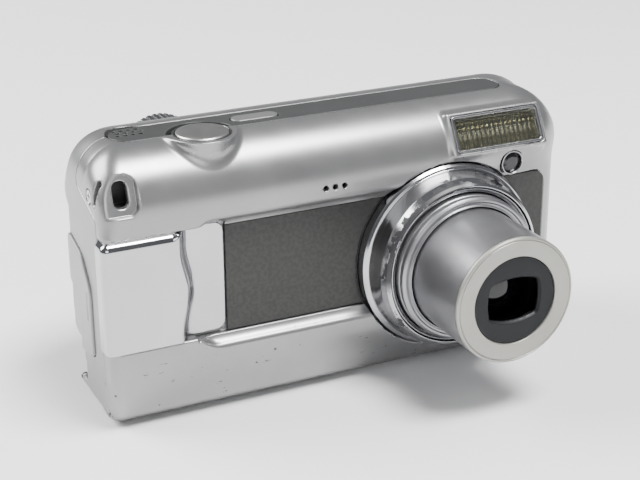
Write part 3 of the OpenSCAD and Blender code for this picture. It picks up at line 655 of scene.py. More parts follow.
class Graph:
    """Node tree of one material, with one main shader."""

    def __init__(self, name: str) -> None:
        """Starts an empty material."""
        self.material = bpy.data.materials.new(name)
        self.material.use_nodes = True
        self.tree = self.material.node_tree
        self.tree.nodes.clear()
        self.shader = self.node("ShaderNodeBsdfPrincipled")
        output = self.node("ShaderNodeOutputMaterial")
        self.tree.links.new(self.shader.outputs["BSDF"], output.inputs["Surface"])
        self.place = Wire(self, self.node("ShaderNodeTexCoord").outputs["Object"])

    def node(self, kind: str, settings: dict[str, object] | None = None,
             inputs: dict[Union[str, int], object] | None = None) -> bpy.types.Node:
        """Adds a node.

        Args:
            kind: Its type.
            settings: Its settings.
            inputs: Values or wires for its sockets, by name or number.

        Returns:
            The node.
        """
        made = self.tree.nodes.new(kind)
        for key, value in (settings or {}).items():
            setattr(made, key, value)
        for key, value in (inputs or {}).items():
            self.plug(made.inputs[key], value)
        return made

    def plug(self, socket: bpy.types.NodeSocket, value: object) -> None:
        """Sets or links one input socket."""
        if isinstance(value, Wire):
            self.tree.links.new(value.socket, socket)
        elif isinstance(value, tuple) and socket.type == "RGBA":
            socket.default_value = (*value, 1.0)
        else:
            socket.default_value = value

    def math(self, operation: str, *values: Value) -> Wire:
        """Adds one arithmetic step.

        Args:
            operation: Name of the step.
            values: Its numbers or wires.

        Returns:
            The result.
        """
        made = self.node("ShaderNodeMath", {"operation": operation}, dict(enumerate(values)))
        return Wire(self, made.outputs[0])

    def mix(self, share: Value, first: object, second: object) -> Wire:
        """Mixes two colours by a share from 0 to 1."""
        made = self.node("ShaderNodeMix", {"data_type": "RGBA"}, {0: share, 6: first, 7: second})
        return Wire(self, made.outputs[2])

    def noise(self, size: float, detail: float = 2.0, place: Wire | None = None) -> Wire:
        """Soft noise, its features about size millimetres across, from 0 to 1."""
        made = self.node("ShaderNodeTexNoise", None,
                         {"Vector": place or self.place, "Scale": 1 / (size * MM), "Detail": detail})
        return Wire(self, made.outputs["Fac"])

    def spots(self, size: float) -> Wire:
        """Distance from scattered spots, in parts of their spacing of size millimetres."""
        made = self.node("ShaderNodeTexVoronoi", None,
                         {"Vector": self.place, "Scale": 1 / (size * MM)})
        return Wire(self, made.outputs["Distance"])

    def stretched(self, scale: Point, turn: Point = (0, 0, 0)) -> Wire:
        """Surface place stretched along the axes and turned."""
        made = self.node("ShaderNodeMapping", None, {"Vector": self.place, "Scale": scale, "Rotation": turn})
        return Wire(self, made.outputs[0])

    def band(self, value: Wire, start: float, end: float) -> Wire:
        """Rises smoothly from 0 at start to 1 at end."""
        made = self.node("ShaderNodeMapRange", {"interpolation_type": "SMOOTHSTEP"},
                         {"Value": value, "From Min": start, "From Max": end})
        return Wire(self, made.outputs[0])

    def axes(self) -> tuple[Wire, Wire, Wire]:
        """Surface place as three wires in millimetres."""
        split = self.node("ShaderNodeSeparateXYZ", None, {0: self.place})
        return tuple(Wire(self, split.outputs[i]) * (1 / MM) for i in range(3))

    def attribute(self, name: str) -> Wire:
        """A number stored on the mesh's points."""
        return Wire(self, self.node("ShaderNodeAttribute", {"attribute_name": name}).outputs["Fac"])

    def bump(self, height: Wire, depth: float) -> Wire:
        """Bump whose height of 1 stands for a depth in millimetres."""
        inputs = {"Height": height, "Distance": depth * MM, "Strength": 1.0}
        return Wire(self, self.node("ShaderNodeBump", None, inputs).outputs["Normal"])

    def finish(self, **sockets: object) -> bpy.types.Material:
        """Feeds the main shader, underscores standing for spaces, and returns the material."""
        for key, value in sockets.items():
            self.plug(self.shader.inputs[key.replace("_", " ")], value)
        return self.material


def shade(colour: Colour, factor: float) -> Colour:
    """A colour made lighter or darker."""
    return tuple(min(1.0, c * factor) for c in colour)


@dataclass(frozen=True)
class SilverPaint:
    """Satin metallic paint with fine flakes, rubbed edges and small dark nicks.

    Attributes:
        name: Name of the material.
        colour: Its base colour.
        rough: Its roughness.
        wear: How much of the edges is rubbed and nicked, from 0 to 1.
    """

    name: str
    colour: Colour
    rough: float = 0.36
    wear: float = 1.0

    def make(self) -> bpy.types.Material:
        """Builds the material."""
        g = Graph(self.name)
        clouds = g.noise(14.0, 3.0)
        flakes = g.noise(0.09, 1.0)
        smear = g.noise(3.2, 4.0)
        tone = g.mix(g.band(clouds, 0.35, 0.7), shade(self.colour, 0.95), shade(self.colour, 1.04))
        tone = g.mix(g.band(flakes, 0.45, 0.8) * 0.25, tone, shade(self.colour, 1.3))
        edge = g.attribute("edge")
        rub = g.band(edge, 0.3, 0.9) * g.band(g.noise(1.1, 3.0), 0.5, 0.64) * self.wear
        tone = g.mix(rub * 0.55, tone, shade(self.colour, 1.35))
        _, y, z = g.axes()
        low = g.band(z, 17.0, 12.0) * g.band(y, -12.0, -15.0)
        ridge = g.band(edge, 0.35, 0.8)
        where = g.math("MAXIMUM", low, ridge)
        nick = (g.spots(2.6) < 0.11) * (g.noise(5.5, 2.0) > 0.53) * where
        drawn = g.noise(0.5, 4.0, g.stretched((0.35, 1, 1), (0, 0.5, 0)))
        scrape = (drawn > 0.665) * (g.noise(7.0) > 0.56) * low
        marks = g.math("MAXIMUM", nick, scrape) * self.wear
        tone = g.mix(marks * 0.8, tone, (0.06, 0.06, 0.06))
        rough = self.rough + (smear - 0.5) * 0.09 + marks * 0.25 - rub * 0.06
        height = g.noise(0.22, 2.0) * 0.5 + g.noise(0.06, 1.0) * 0.35 - marks * 2.0
        return g.finish(Base_Color=tone, Metallic=0.82, Roughness=rough, Normal=g.bump(height, 0.004))


@dataclass(frozen=True)
class Plating:
    """Bright or satin plating with fine scratches.

    Attributes:
        name: Name of the material.
        colour: Its base colour.
        rough: Its roughness.
        scratch: Depth of the scratches in micrometres.
    """

    name: str
    colour: Colour
    rough: float = 0.12
    scratch: float = 1.0

    def layers(self, g: Graph) -> dict[str, object]:
        """Sockets of the sound plating.

        Args:
            g: The graph to build in.

        Returns:
            Wires and numbers for the main shader.
        """
        clouds = g.noise(9.0, 3.0)
        tone = g.mix(g.band(clouds, 0.3, 0.75), shade(self.colour, 0.96), shade(self.colour, 1.03))
        fine = g.noise(0.14, 3.0, g.stretched((0.1, 1, 1), (0.3, 0.5, 0.2)))
        cross = g.noise(0.16, 3.0, g.stretched((1, 1, 0.08), (0.2, -0.4, 0.1)))
        lines = g.band(fine, 0.62, 0.72) + g.band(cross, 0.64, 0.74)
        rough = self.rough + (g.noise(2.4, 4.0) - 0.5) * 0.08 + lines * 0.05
        return {"tone": tone, "rough": rough, "lines": lines}

    def make(self) -> bpy.types.Material:
        """Builds the material."""
        g = Graph(self.name)
        parts = self.layers(g)
        swell = g.noise(2.2, 2.0)
        normal = g.bump(parts["lines"] * (-0.3) + swell * 0.8, 0.001 * self.scratch)
        return g.finish(Base_Color=parts["tone"], Metallic=1.0, Roughness=parts["rough"], Normal=normal)


@dataclass(frozen=True)
class ChippedPlating(Plating):
    """Plating that has flaked off round the inner lip of a ring.

    Attributes:
        centre: Middle of the ring across the body and above the base.
        lip: Radius where it has flaked most.
    """

    centre: tuple[float, float] = LENS_AXIS
    lip: float = 16.9

    def make(self) -> bpy.types.Material:
        """Builds the material."""
        g = Graph(self.name)
        parts = self.layers(g)
        x, _, z = g.axes()
        across, above = x - self.centre[0], z - self.centre[1]
        radius = g.math("SQRT", across * across + above * above)
        away = g.math("ABSOLUTE", radius - self.lip)
        angle = g.math("ARCTAN2", above, 0 - across)
        sector = g.band(angle, -0.25, 0.0) * g.band(angle, 1.75, 1.5)
        lower = g.band(angle, -0.85, -0.7) * g.band(angle, -0.4, -0.5)
        ragged = (g.noise(2.6, 4.0) - 0.5) * 2.4 + (g.noise(0.6, 3.0) - 0.5) * 0.8
        worn = (away - ragged * sector - 0.5 * sector - (ragged + 0.15) * lower) < 0.06
        chip = worn * g.math("MAXIMUM", sector, lower)
        tone = g.mix(chip, parts["tone"], (0.03, 0.03, 0.033))
        rough = parts["rough"] * (1 - chip) + chip * 0.42
        normal = g.bump(parts["lines"] * (-0.05) + g.noise(2.2, 2.0) * 0.1 - chip, 0.02)
        return g.finish(Base_Color=tone, Metallic=1 - chip * 0.9, Roughness=rough, Normal=normal)


@dataclass(frozen=True)
class Spun:
    """Metal or paint with fine turned lines round the lens axis.

    Attributes:
        name: Name of the material.
        colour: Its base colour.
        rough: Its roughness.
        metallic: Its metalness.
        pitch: Spacing of the lines in millimetres.
        depth: Depth of the lines in millimetres.
        black_within: Radius inside which the part is blackened.
    """

    name: str
    colour: Colour
    rough: float = 0.35
    metallic: float = 0.9
    pitch: float = 0.08
    depth: float = 0.002
    black_within: float = 0.0

    def make(self) -> bpy.types.Material:
        """Builds the material."""
        g = Graph(self.name)
        x, y, z = g.axes()
        across, above = x - LENS_AXIS[0], z - LENS_AXIS[1]
        from_axis = g.math("SQRT", across * across + above * above)
        radius = from_axis + y * 0.7
        line = g.math("SINE", radius * (2 * math.pi / self.pitch) + g.noise(4.0) * 3.0)
        tone = g.mix(g.band(g.noise(6.0, 3.0), 0.3, 0.7), shade(self.colour, 0.96), shade(self.colour, 1.03))
        tone = g.mix(g.band(g.noise(0.12), 0.45, 0.8) * 0.2, tone, shade(self.colour, 1.25))
        speck = (g.spots(3.0) < 0.05) * (g.noise(6.0) > 0.55)
        tone = g.mix(speck * 0.7, tone, shade(self.colour, 0.2))
        rub = g.band(g.attribute("edge"), 0.3, 0.9) * g.band(g.noise(0.9, 3.0), 0.42, 0.6)
        tone = g.mix(rub * 0.5, tone, shade(self.colour, 1.3))
        inside = from_axis < self.black_within
        tone = g.mix(inside, tone, (0.006, 0.006, 0.006))
        rough = self.rough + (g.noise(1.7, 3.0) - 0.5) * 0.1 - rub * 0.08 + inside * 0.2
        height = line * 0.5 + g.noise(0.1) * 0.6
        return g.finish(Base_Color=tone, Metallic=self.metallic, Roughness=rough,
                        Normal=g.bump(height, self.depth))


@dataclass(frozen=True)
class Moulded:
    """Moulded plastic or rubber with a fine grain and polished edges.

    Attributes:
        name: Name of the material.
        colour: Its base colour.
        rough: Its roughness.
        grain: Size of the grain in millimetres.
        depth: Depth of the grain in millimetres.
        metallic: Metalness of pigment flakes.
        gloss: Strength of its reflection.
    """

    name: str
    colour: Colour
    rough: float = 0.45
    grain: float = 0.16
    depth: float = 0.006
    metallic: float = 0.0
    gloss: float = 0.5

    def make(self) -> bpy.types.Material:
        """Builds the material."""
        g = Graph(self.name)
        tone = g.mix(g.band(g.noise(8.0, 3.0), 0.3, 0.7), shade(self.colour, 0.96), shade(self.colour, 1.04))
        dust = (g.spots(1.3) < 0.05) * (g.noise(3.5) > 0.6)
        tone = g.mix(dust * 0.3, tone, shade(self.colour, 2.4))
        rub = g.band(g.attribute("edge"), 0.35, 0.9) * g.band(g.noise(0.8, 3.0), 0.4, 0.6)
        tone = g.mix(rub * 0.35, tone, shade(self.colour, 1.7))
        rough = self.rough + (g.noise(2.1, 3.0) - 0.5) * 0.12 - rub * 0.1
        height = g.noise(self.grain, 2.0) + g.spots(self.grain * 1.6) * 0.5
        return g.finish(Base_Color=tone, Metallic=self.metallic, Roughness=rough,
                        Specular_IOR_Level=self.gloss, Normal=g.bump(height, self.depth))


@dataclass(frozen=True)
class ClearPart:
    """Glass or clear plastic with a faint film of dust.

    Attributes:
        name: Name of the material.
        colour: Its tint.
        rough: Its roughness.
        ior: Its index of refraction.
    """

    name: str
    colour: Colour
    rough: float = 0.02
    ior: float = 1.5

    def make(self) -> bpy.types.Material:
        """Builds the material."""
        g = Graph(self.name)
        rough = self.rough + g.band(g.noise(1.6, 4.0), 0.55, 0.8) * 0.08
        tone = g.mix(g.noise(4.0), self.colour, shade(self.colour, 0.94))
        normal = g.bump(g.noise(1.2, 2.0), 0.002)
        return g.finish(Base_Color=tone, Roughness=rough, Transmission_Weight=1.0, IOR=self.ior,
                        Normal=normal)


@dataclass(frozen=True)
class GlossBlack:
    """Black glossy plastic or coated glass with wiped smears.

    Attributes:
        name: Name of the material.
        colour: Its base colour.
        rough: Its roughness.
    """

    name: str
    colour: Colour = (0.012, 0.012, 0.014)
    rough: float = 0.08

    def make(self) -> bpy.types.Material:
        """Builds the material."""
        g = Graph(self.name)
        smear = g.noise(5.0, 4.0, g.stretched((0.5, 1, 1.4), (0, 0.6, 0)))
        tone = g.mix(g.band(smear, 0.4, 0.8), self.colour, shade(self.colour, 1.6))
        dust = (g.spots(1.8) < 0.05) * (g.noise(5.0) > 0.5)
        tone = g.mix(dust * 0.5, tone, (0.2, 0.2, 0.2))
        rough = self.rough + g.band(smear, 0.45, 0.75) * 0.12 + dust * 0.3
        return g.finish(Base_Color=tone, Roughness=rough, Normal=g.bump(g.noise(3.0), 0.002))


@dataclass(frozen=True)
class BoardMask:
    """Circuit board lacquer over copper tracks.

    Attributes:
        name: Name of the material.
    """

    name: str

    def make(self) -> bpy.types.Material:
        """Builds the material."""
        g = Graph(self.name)
        brick = g.node("ShaderNodeTexBrick", None,
                       {"Vector": g.stretched((1, 1, 1), (math.pi / 2, 0, 0)), "Scale": 1 / (2.2 * MM),
                        "Mortar Size": 0.09, "Color1": (0.02, 0.13, 0.05), "Color2": (0.02, 0.16, 0.06),
                        "Mortar": (0.06, 0.25, 0.09)})
        pads = (g.spots(1.9) < 0.14) * (g.noise(7.0) > 0.47)
        tone = g.mix(pads, Wire(g, brick.outputs["Color"]), (0.55, 0.5, 0.4))
        track = Wire(g, brick.outputs["Fac"])
        height = track * 0.6 + pads
        return g.finish(Base_Color=tone, Metallic=pads * 0.9, Roughness=0.35 + g.noise(1.0) * 0.15,
                        Normal=g.bump(height, 0.03))


@dataclass(frozen=True)
class Finishes:
    """Every material of the camera, made once."""

    made: dict[str, bpy.types.Material] = field(default_factory=dict)

    def of(self, recipe: object) -> bpy.types.Material:
        """The material of a finish, built when first asked for."""
        if recipe.name not in self.made:
            self.made[recipe.name] = recipe.make()
        return self.made[recipe.name]


SHELL_PAINT = SilverPaint("silver_front_paint", (0.29, 0.29, 0.293), 0.31)
COVER_PAINT = SilverPaint("silver_rear_paint", (0.28, 0.28, 0.283), 0.35, 0.6)
PANEL_PLASTIC = Moulded("dark_panel_lacquer", (0.024, 0.0236, 0.0225), 0.42, 0.1, 0.001, 0.0, 0.3)
STRIP_PLASTIC = Moulded("dark_strip_lacquer", (0.034, 0.035, 0.035), 0.38, 0.1, 0.001, 0.0, 0.35)
POWER_PLASTIC = Moulded("power_key_lacquer", (0.15, 0.15, 0.152), 0.34, 0.1, 0.002, 0.4)
BRIGHT_PLATE = Plating("bright_plating", (0.46, 0.46, 0.475), 0.12, 1.6)
RING_PLATE = ChippedPlating("ring_plating", (0.47, 0.47, 0.485), 0.17, 1.0)
SATIN_PLATE = Plating("satin_plating", (0.36, 0.36, 0.37), 0.26, 1.4)
BUTTON_PLATE = Plating("button_plating", (0.74, 0.73, 0.70), 0.3, 1.2)
TUBE_PAINT = Spun("tube_paint", (0.30, 0.30, 0.312), 0.33, 0.9, 0.12, 0.0012, 12.3)
FACE_METAL = Spun("spun_face_metal", (0.32, 0.315, 0.29), 0.42, 0.65, 0.1, 0.002)
MATT_BLACK = Moulded("matt_black_plastic", (0.010, 0.010, 0.011), 0.6)
DISC_GREY = Moulded("lens_mask_plastic", (0.012, 0.0127, 0.014), 0.5, 0.1, 0.003, 0.0, 0.18)
GLOSS_BLACK = GlossBlack("gloss_black_plastic")
SCREEN_GLOSS = GlossBlack("screen_window_plastic", (0.01, 0.01, 0.013), 0.06)
LENS_GLASS = GlossBlack("coated_lens_glass", (0.002, 0.0022, 0.003), 0.03)
CLEAR_RIBS = ClearPart("ribbed_window_plastic", (0.86, 0.86, 0.78), 0.03, 1.49)
TUBE_GLASS = ClearPart("tube_glass", (0.95, 0.95, 0.93), 0.02, 1.47)
REFLECTOR_METAL = Plating("reflector_metal", (0.40, 0.39, 0.32), 0.12, 2.0)
SOFT_RUBBER = Moulded("soft_grey_rubber", (0.30, 0.30, 0.305), 0.42, 0.22, 0.006, 0.4)
PLAIN_STEEL = Plating("plain_steel", (0.56, 0.56, 0.58), 0.3, 3.0)
WHITE_NYLON = Moulded("white_gear_nylon", (0.75, 0.75, 0.72), 0.42)
BRASS = Plating("turned_brass", (0.72, 0.52, 0.22), 0.25, 2.0)
BOARD = BoardMask("board_lacquer")
CELL_WRAP = Plating("cell_jacket", (0.62, 0.46, 0.18), 0.3, 2.0)
CARD_BLUE = Moulded("card_plastic", (0.03, 0.06, 0.2), 0.4)
SLEEVE = Moulded("capacitor_sleeve", (0.03, 0.035, 0.1), 0.25)
SOCKET_METAL = Plating("socket_metal", (0.6, 0.6, 0.6), 0.3, 2.5)
FRAME_STEEL = Plating("display_frame_steel", (0.5, 0.5, 0.52), 0.32, 2.5)


# ------------------------------------------------------------------ sub-assemblies

def half_space(normal: Sequence[float], far: float) -> Solid:
    """Everything behind a plane, given by its outward normal and distance."""
    return wedge([(normal, far)])


@dataclass
class BodyForm:
    """Outer form of the casing, its radii set by the direction in which the surface faces.

    Attributes:
        left: Left side.
        right: Right side.
        height: Top.
        rear: Rear face.
        reach: Forward reach of the front.
        shoulder: Radius between front and top.
        crown: Radius of the top towards the rear.
        belly: Radius of the lower front.
    """

    left: float = -51.8
    right: float = 52.4
    height: float = 55.1
    rear: float = 15.7
    reach: float = 18.4
    shoulder: float = 12.0
    crown: float = 22.0
    belly: float = 22.0

    def outline(self, y: Array, z: Array) -> Array:
        """Distance to the side outline."""
        middle = self.belly - self.reach
        lower = np.where(y > middle, z - 12.0 - self.belly, np.hypot(y - middle, z - 12.0) - self.belly)
        front = np.where(z > 12.0, -self.reach - y, lower)
        centre = self.height - self.crown
        top = np.where(y > -2.0, np.hypot(y + 2.0, z - centre) - self.crown, z - self.height)
        solid = round_max(front, top, self.shoulder)
        solid = round_max(solid, y - self.rear, np.where(z > 25, 6.0, 3.0))
        return round_max(solid, -z, 3.0)

    def side_radius(self, x: Array, y: Array, z: Array) -> Array:
        """Radius between the outline and the sides, blended from one part to the next."""
        high, low = np.clip((z - 40) / 12, 0, 1), np.clip((10 - z) / 8, 0, 1)
        back = np.clip((y - 2) / 8, 0, 1)
        ahead = np.where(x < 0, np.clip((-8 - y) / 8, 0, 1), np.clip((2 - y) / 4, 0, 1))
        total = high + low + back + ahead
        left = 8 * high + 4.5 * low + 15 * back + 2.5 * ahead
        right = 13 * high + 6 * low + 10 * back + 17 * ahead
        return np.where(total < 1e-3, 5.0, np.where(x < 0, left, right) / np.maximum(total, 1e-3))

    def solid(self) -> Solid:
        """The form as a solid."""
        def at(x: Array, y: Array, z: Array) -> Array:
            """Distance to the outer form."""
            sides = np.maximum(self.left - x, x - self.right)
            return round_max(self.outline(y, z), sides, self.side_radius(x, y, z))

        return Solid(at)


@dataclass
class Layout:
    """Places and sizes that several sub-assemblies share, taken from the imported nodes."""

    lens: Array = field(default_factory=lambda: node_middle("lens_ring"))
    shutter: Array = field(default_factory=lambda: node_middle("shutter_button"))
    power: Array = field(default_factory=lambda: node_middle("power_button"))
    lamp: Array = field(default_factory=lambda: node_middle("focus_lamp"))
    dial: Array = field(default_factory=lambda: node_middle("mode_dial"))
    pad: Array = field(default_factory=lambda: node_middle("direction_pad"))
    rocker: Array = field(default_factory=lambda: node_middle("zoom_rocker"))
    print_key: Array = field(default_factory=lambda: node_middle("print_button"))
    play_key: Array = field(default_factory=lambda: node_middle("playback_button"))
    display_key: Array = field(default_factory=lambda: node_middle("display_button"))
    menu_key: Array = field(default_factory=lambda: node_middle("menu_button"))
    socket: Array = field(default_factory=lambda: node_middle("tripod_socket"))
    screen: tuple[Array, Array] = field(default_factory=lambda: node_box("screen_window"))
    form: BodyForm = field(default_factory=BodyForm)
    flash_at: Point = (31.9, -16.5, 48.9)
    flash_size: tuple[float, float] = (19.0, 6.5)
    lean: float = 29.7
    seam: float = -3.8
    panel_face: float = -16.0

    def flash_frame(self) -> Matrix:
        """Placing matrix of the flash window's own frame."""
        return Matrix.Translation(Vector(self.flash_at)) @ Matrix.Rotation(math.radians(-self.lean), 4, "X")

    def screen_outline(self, gap: float) -> tuple[tuple[float, float], tuple[float, float]]:
        """Middle and size of the screen window across and above, grown by gap."""
        low, high = self.screen
        middle = ((low[0] + high[0]) / 2, (low[2] + high[2]) / 2)
        return middle, (high[0] - low[0] + 2 * gap, high[2] - low[2] + 2 * gap)

    def lens_rod(self, radius: float, start: float, end: float, edge: float = 0.0) -> Solid:
        """Round rod on the lens axis, between two reaches."""
        return rod(1, (self.lens[0], self.lens[2]), radius, -end, -start, edge)


@dataclass
class CasingSolids:
    """Solids from which the casing pieces are cut.

    Attributes:
        lay: Shared places.
        wall: Wall thickness.
        door_front: Front edge of the battery door.
        door_back: Its rear edge.
        door_right: Its right edge.
        door_top: Height of its top edge.
        door_gap: Gap round it.
        door_pin: Place of its hinge pin across and above.
        door_barrel: Radius of its hinge barrel.
        door_swing: Radius of the room in which the barrel turns.
    """

    lay: Layout
    wall: float = 1.25
    door_front: float = -14.2
    door_back: float = 5.0
    door_right: float = 1.9
    door_top: float = 3.1
    door_gap: float = 0.15
    door_pin: tuple[float, float] = (-50.3, 2.3)
    door_barrel: float = 0.78
    door_swing: float = 1.15

    def front_region(self) -> Solid:
        """Everything that belongs to the front cover, in front of the joint."""
        wrap = wedge([((1, 0, 0), -48.6), ((0, -1, 0), 14.6), ((0, -4, 11.8), 4 * 14.6 + 11.8 * 42.8)], 1.2)
        return half_space((0, 1, 0), self.lay.seam).cut(wrap, 0.8)

    def cove(self) -> Solid:
        """Set-back band of the front between the two ridges."""
        upper = ((0, 2.6, 3.3), 2.6 * -16 + 3.3 * 38.9)
        lower = ((0, 2.6, -3.9), 2.6 * -16 - 3.9 * 16.1)
        face = half_space((0, 1, 0), self.lay.panel_face)
        slopes = half_space(*upper).meet(half_space(*lower), 0.0).meet(face, 1.6)
        taper = half_space((-1, 0, -1.6), 34.0 - 1.6 * 15.6)
        return slopes.meet(half_space((-1, 0, 0), 34.6), 4.5).meet(taper, 2.0)

    def right_outline(self, gap: float) -> Solid:
        """Outline of the right dark plate, grown by gap."""
        return pill(1, (32.6, 27.45), (24.4 + 2 * gap, 22 + 2 * gap), -FAR, -5, 3.5 + gap)

    def panel_core(self, inset: float) -> Solid:
        """The body cut back to the face of the dark plates, moved inwards by inset."""
        return self.lay.form.solid().grown(-inset) & half_space((0, -1, 0), 16 - inset)

    def door_region(self) -> Solid:
        """Part of the base taken by the battery door, with the gap round it."""
        front, back = self.door_front - self.door_gap, self.door_back + self.door_gap
        high = (self.door_right + self.door_gap, back, self.door_top + self.door_gap)
        return box((-FAR, front, -2), high, 0.2) | rod(1, self.door_pin, self.door_swing, front, back)

    def strip_region(self) -> Solid:
        """Outline of the dark strip in the top."""
        left = pill(2, (-20, -4.75), (50.6, 7.5), 53.9, FAR, 3.7)
        right = pill(2, (18.5, -4.75), (40, 7.5), 53.9, FAR, 3.0)
        return left | right

    def shutter_bore(self) -> Solid:
        """Bore of the shutter button."""
        return rod(2, self.lay.shutter[:2], 5.35, 52.2, FAR) | rod(2, self.lay.shutter[:2], 1.7, 46, FAR)

    def power_bore(self) -> Solid:
        """Slot of the power button."""
        return pill(2, self.lay.power[:2], (10, 3.9), 50, FAR, 1.95)

    def screw_seats(self) -> Solid:
        """Seats of the case screws."""
        seats = rod(2, (46, 8), 1.5, -1, 0.9)
        for x, y in ((46, -9), (8, 12)):
            seats |= rod(2, (x, y), 1.5, -1, 0.9)
        seats |= rod(0, (-11.2, 46.5), 1.5, -54, -50.9)
        for z in (12, 44):
            seats |= rod(0, (2, z), 1.5, 51.5, 54)
        return seats

    def strap_pocket(self) -> Solid:
        """Shallow pocket for the strap in the upper left corner."""
        outline = pill(1, (-52.4, 47.5), (16, 7.2), -FAR, -10, 1.9)
        return outline & half_space((0, 1, -0.34), -17.45 - 0.34 * 43.9)

    def strap_slots(self) -> Solid:
        """Slot through the pocket's floor and out of the left side."""
        front = pill(1, (-47.3, 47.6), (2.8, 4.8), -FAR, -12.5, 1.2)
        side = pill(0, (-13.9, 47.6), (1.3, 4.8), -54, -49, 0.6)
        return front | side

    def slot_liner(self) -> Solid:
        """Dark cup behind the strap slots."""
        cup = box((-50.6, -15.2, 44.3), (-44.4, -12.2, 50.8), 0.2)
        hollow = box((-52, -20, 44.7), (-44.8, -12.6, 50.4), 0.2)
        return cup.cut(hollow, 0.05) & self.lay.form.solid().grown(-1.3)

    def terminal_region(self, gap: float) -> Solid:
        """Outline of the rubber cover on the left side, grown by gap."""
        corners = [(-9, 13), (-2, 11.6), (5.4, 13.4), (5.4, 33), (3, 34.6), (-4.6, 32.6), (-9, 27)]
        planes = []
        for (y0, z0), (y1, z1) in zip(corners, corners[1:] + corners[:1]):
            normal = (0, z1 - z0, y0 - y1)
            planes.append((normal, normal[1] * y0 + normal[2] * z0))
        return wedge(planes, 0.8).grown(gap)


@dataclass
class FrontCover:
    """Silver front cover with the raised boss, flash pad, cove and strap pocket.

    Attributes:
        lay: Shared places.
        parts: Shared solids.
        paint: Its finish.
        boss_foot: Height where the shutter boss starts to widen.
        boss_radius: Radius of the boss there.
        boss_flare: Growth of its radius for each millimetre of height.
        boss_top: Top of the boss.
        boss_fillet: Radius between the boss and the shoulder.
        pad_fillet: Radius between the flash pad and the shoulder.
        sound_holes: Places of the microphone holes across the body.
    """

    lay: Layout
    parts: CasingSolids
    paint: SilverPaint = SHELL_PAINT
    boss_foot: float = 48.0
    boss_radius: float = 4.4
    boss_flare: float = 0.32
    boss_top: float = 55.3
    boss_fillet: float = 1.7
    pad_fillet: float = 1.3
    sound_holes: tuple[float, ...] = (-7, -5, -3)

    def outer(self) -> Solid:
        """Outer form with the boss and the flash pad blended in."""
        solid = self.lay.form.solid()
        sx, sy = self.lay.shutter[:2]

        def cone(x: Array, y: Array, z: Array) -> Array:
            """Boss that widens towards its top."""
            flare = self.boss_radius + np.clip(z - self.boss_foot, -2, 9) * self.boss_flare
            return np.maximum((np.hypot(x - sx, y - sy) - flare) * 0.94, z - self.boss_top)

        solid = solid.join(Solid(cone), self.boss_fillet).meet(half_space((0, 0, 1), 55.12), 0.25)
        pad = box((-10.9, -0.5, -4.5), (10.9, 3, 4.5), 0.45).moved(self.lay.flash_frame())
        return solid.join(pad, self.pad_fillet)

    def solid(self) -> Solid:
        """The whole cover."""
        lay, parts = self.lay, self.parts
        inner = lay.form.solid().grown(-parts.wall)
        flash = lay.flash_frame()
        backing = box((-11, -3, -4.6), (11, 1.4, 4.6)).moved(flash)
        collar = rod(2, lay.shutter[:2], 6.6, 48.2, 60)
        hollow = inner - parts.cove().grown(1.6) - backing - collar
        hollow = hollow - box((-36, -FAR, 15.5), (-26, -13.4, 41)) - box((26, -FAR, 36), (50, -13.2, 46))
        hollow = hollow - parts.strap_pocket().grown(1.3)
        cover = self.outer() - hollow
        whole, cove = cover, parts.cove()

        def softened(x: Array, y: Array, z: Array) -> Array:
            """Cover with the cove cut in, its ridge rolled over towards the right end."""
            edge = np.interp(x, [29, 36], [0.55, 3.0])
            return round_max(whole.at(x, y, z), -cove.at(x, y, z), edge)

        cover = Solid(softened)
        seat = box((-34, -FAR, 16.3), (24, -15.15, 38.6), 0.05)
        cover = cover.cut(seat, 0.08)
        cover = cover.cut(parts.right_outline(0.15) - parts.panel_core(0.85), 0.12)
        plate = GripPlate(lay).form().grown(-0.95)
        slot = box((-FAR, -FAR, 16.9), (-27.3, -14, 39.55)) - plate
        cover = cover.cut(slot, 0.22)
        cover = cover.cut(lay.lens_rod(19.75, 15.15, FAR), 0.18)
        cover = cover - lay.lens_rod(18.05, -FAR, FAR)
        window = box((-10.15, -6, -3.9), (10.15, 8, 3.9), 0.9).moved(flash)
        cover = cover.cut(window, 0.15)
        cover = cover.cut(rod(1, (lay.lamp[0], lay.lamp[2]), 2.6, -FAR, -10), 0.12)
        for x in self.sound_holes:
            cover = cover.cut(rod(1, (x, 43.1), 0.52, -FAR, -13), 0.1)
        cover = cover.cut(parts.shutter_bore(), 0.22).cut(parts.power_bore(), 0.1)
        cover = cover.cut(parts.strip_region().grown(0.1), 0.12)
        cover = cover - rod(2, (-41.2, -3.6), 4.3, 46, 55)
        cover = cover.cut(parts.strap_pocket(), 0.3).cut(parts.strap_slots(), 0.25)
        cover = cover.cut(parts.screw_seats(), 0.15)
        cover = cover.cut(parts.door_region(), 0.2)
        return cover.meet(parts.front_region(), 0.2)

    def build(self, finishes: Finishes) -> None:
        """Builds the cover."""
        piece = Mesher(0.3, keep=0.42).build("front_shell", self.solid(), (-52, -19.2, 0), (52.6, -3.6, 55.3))
        piece_on(piece, "body", finishes.of(self.paint), ["front_cover"])


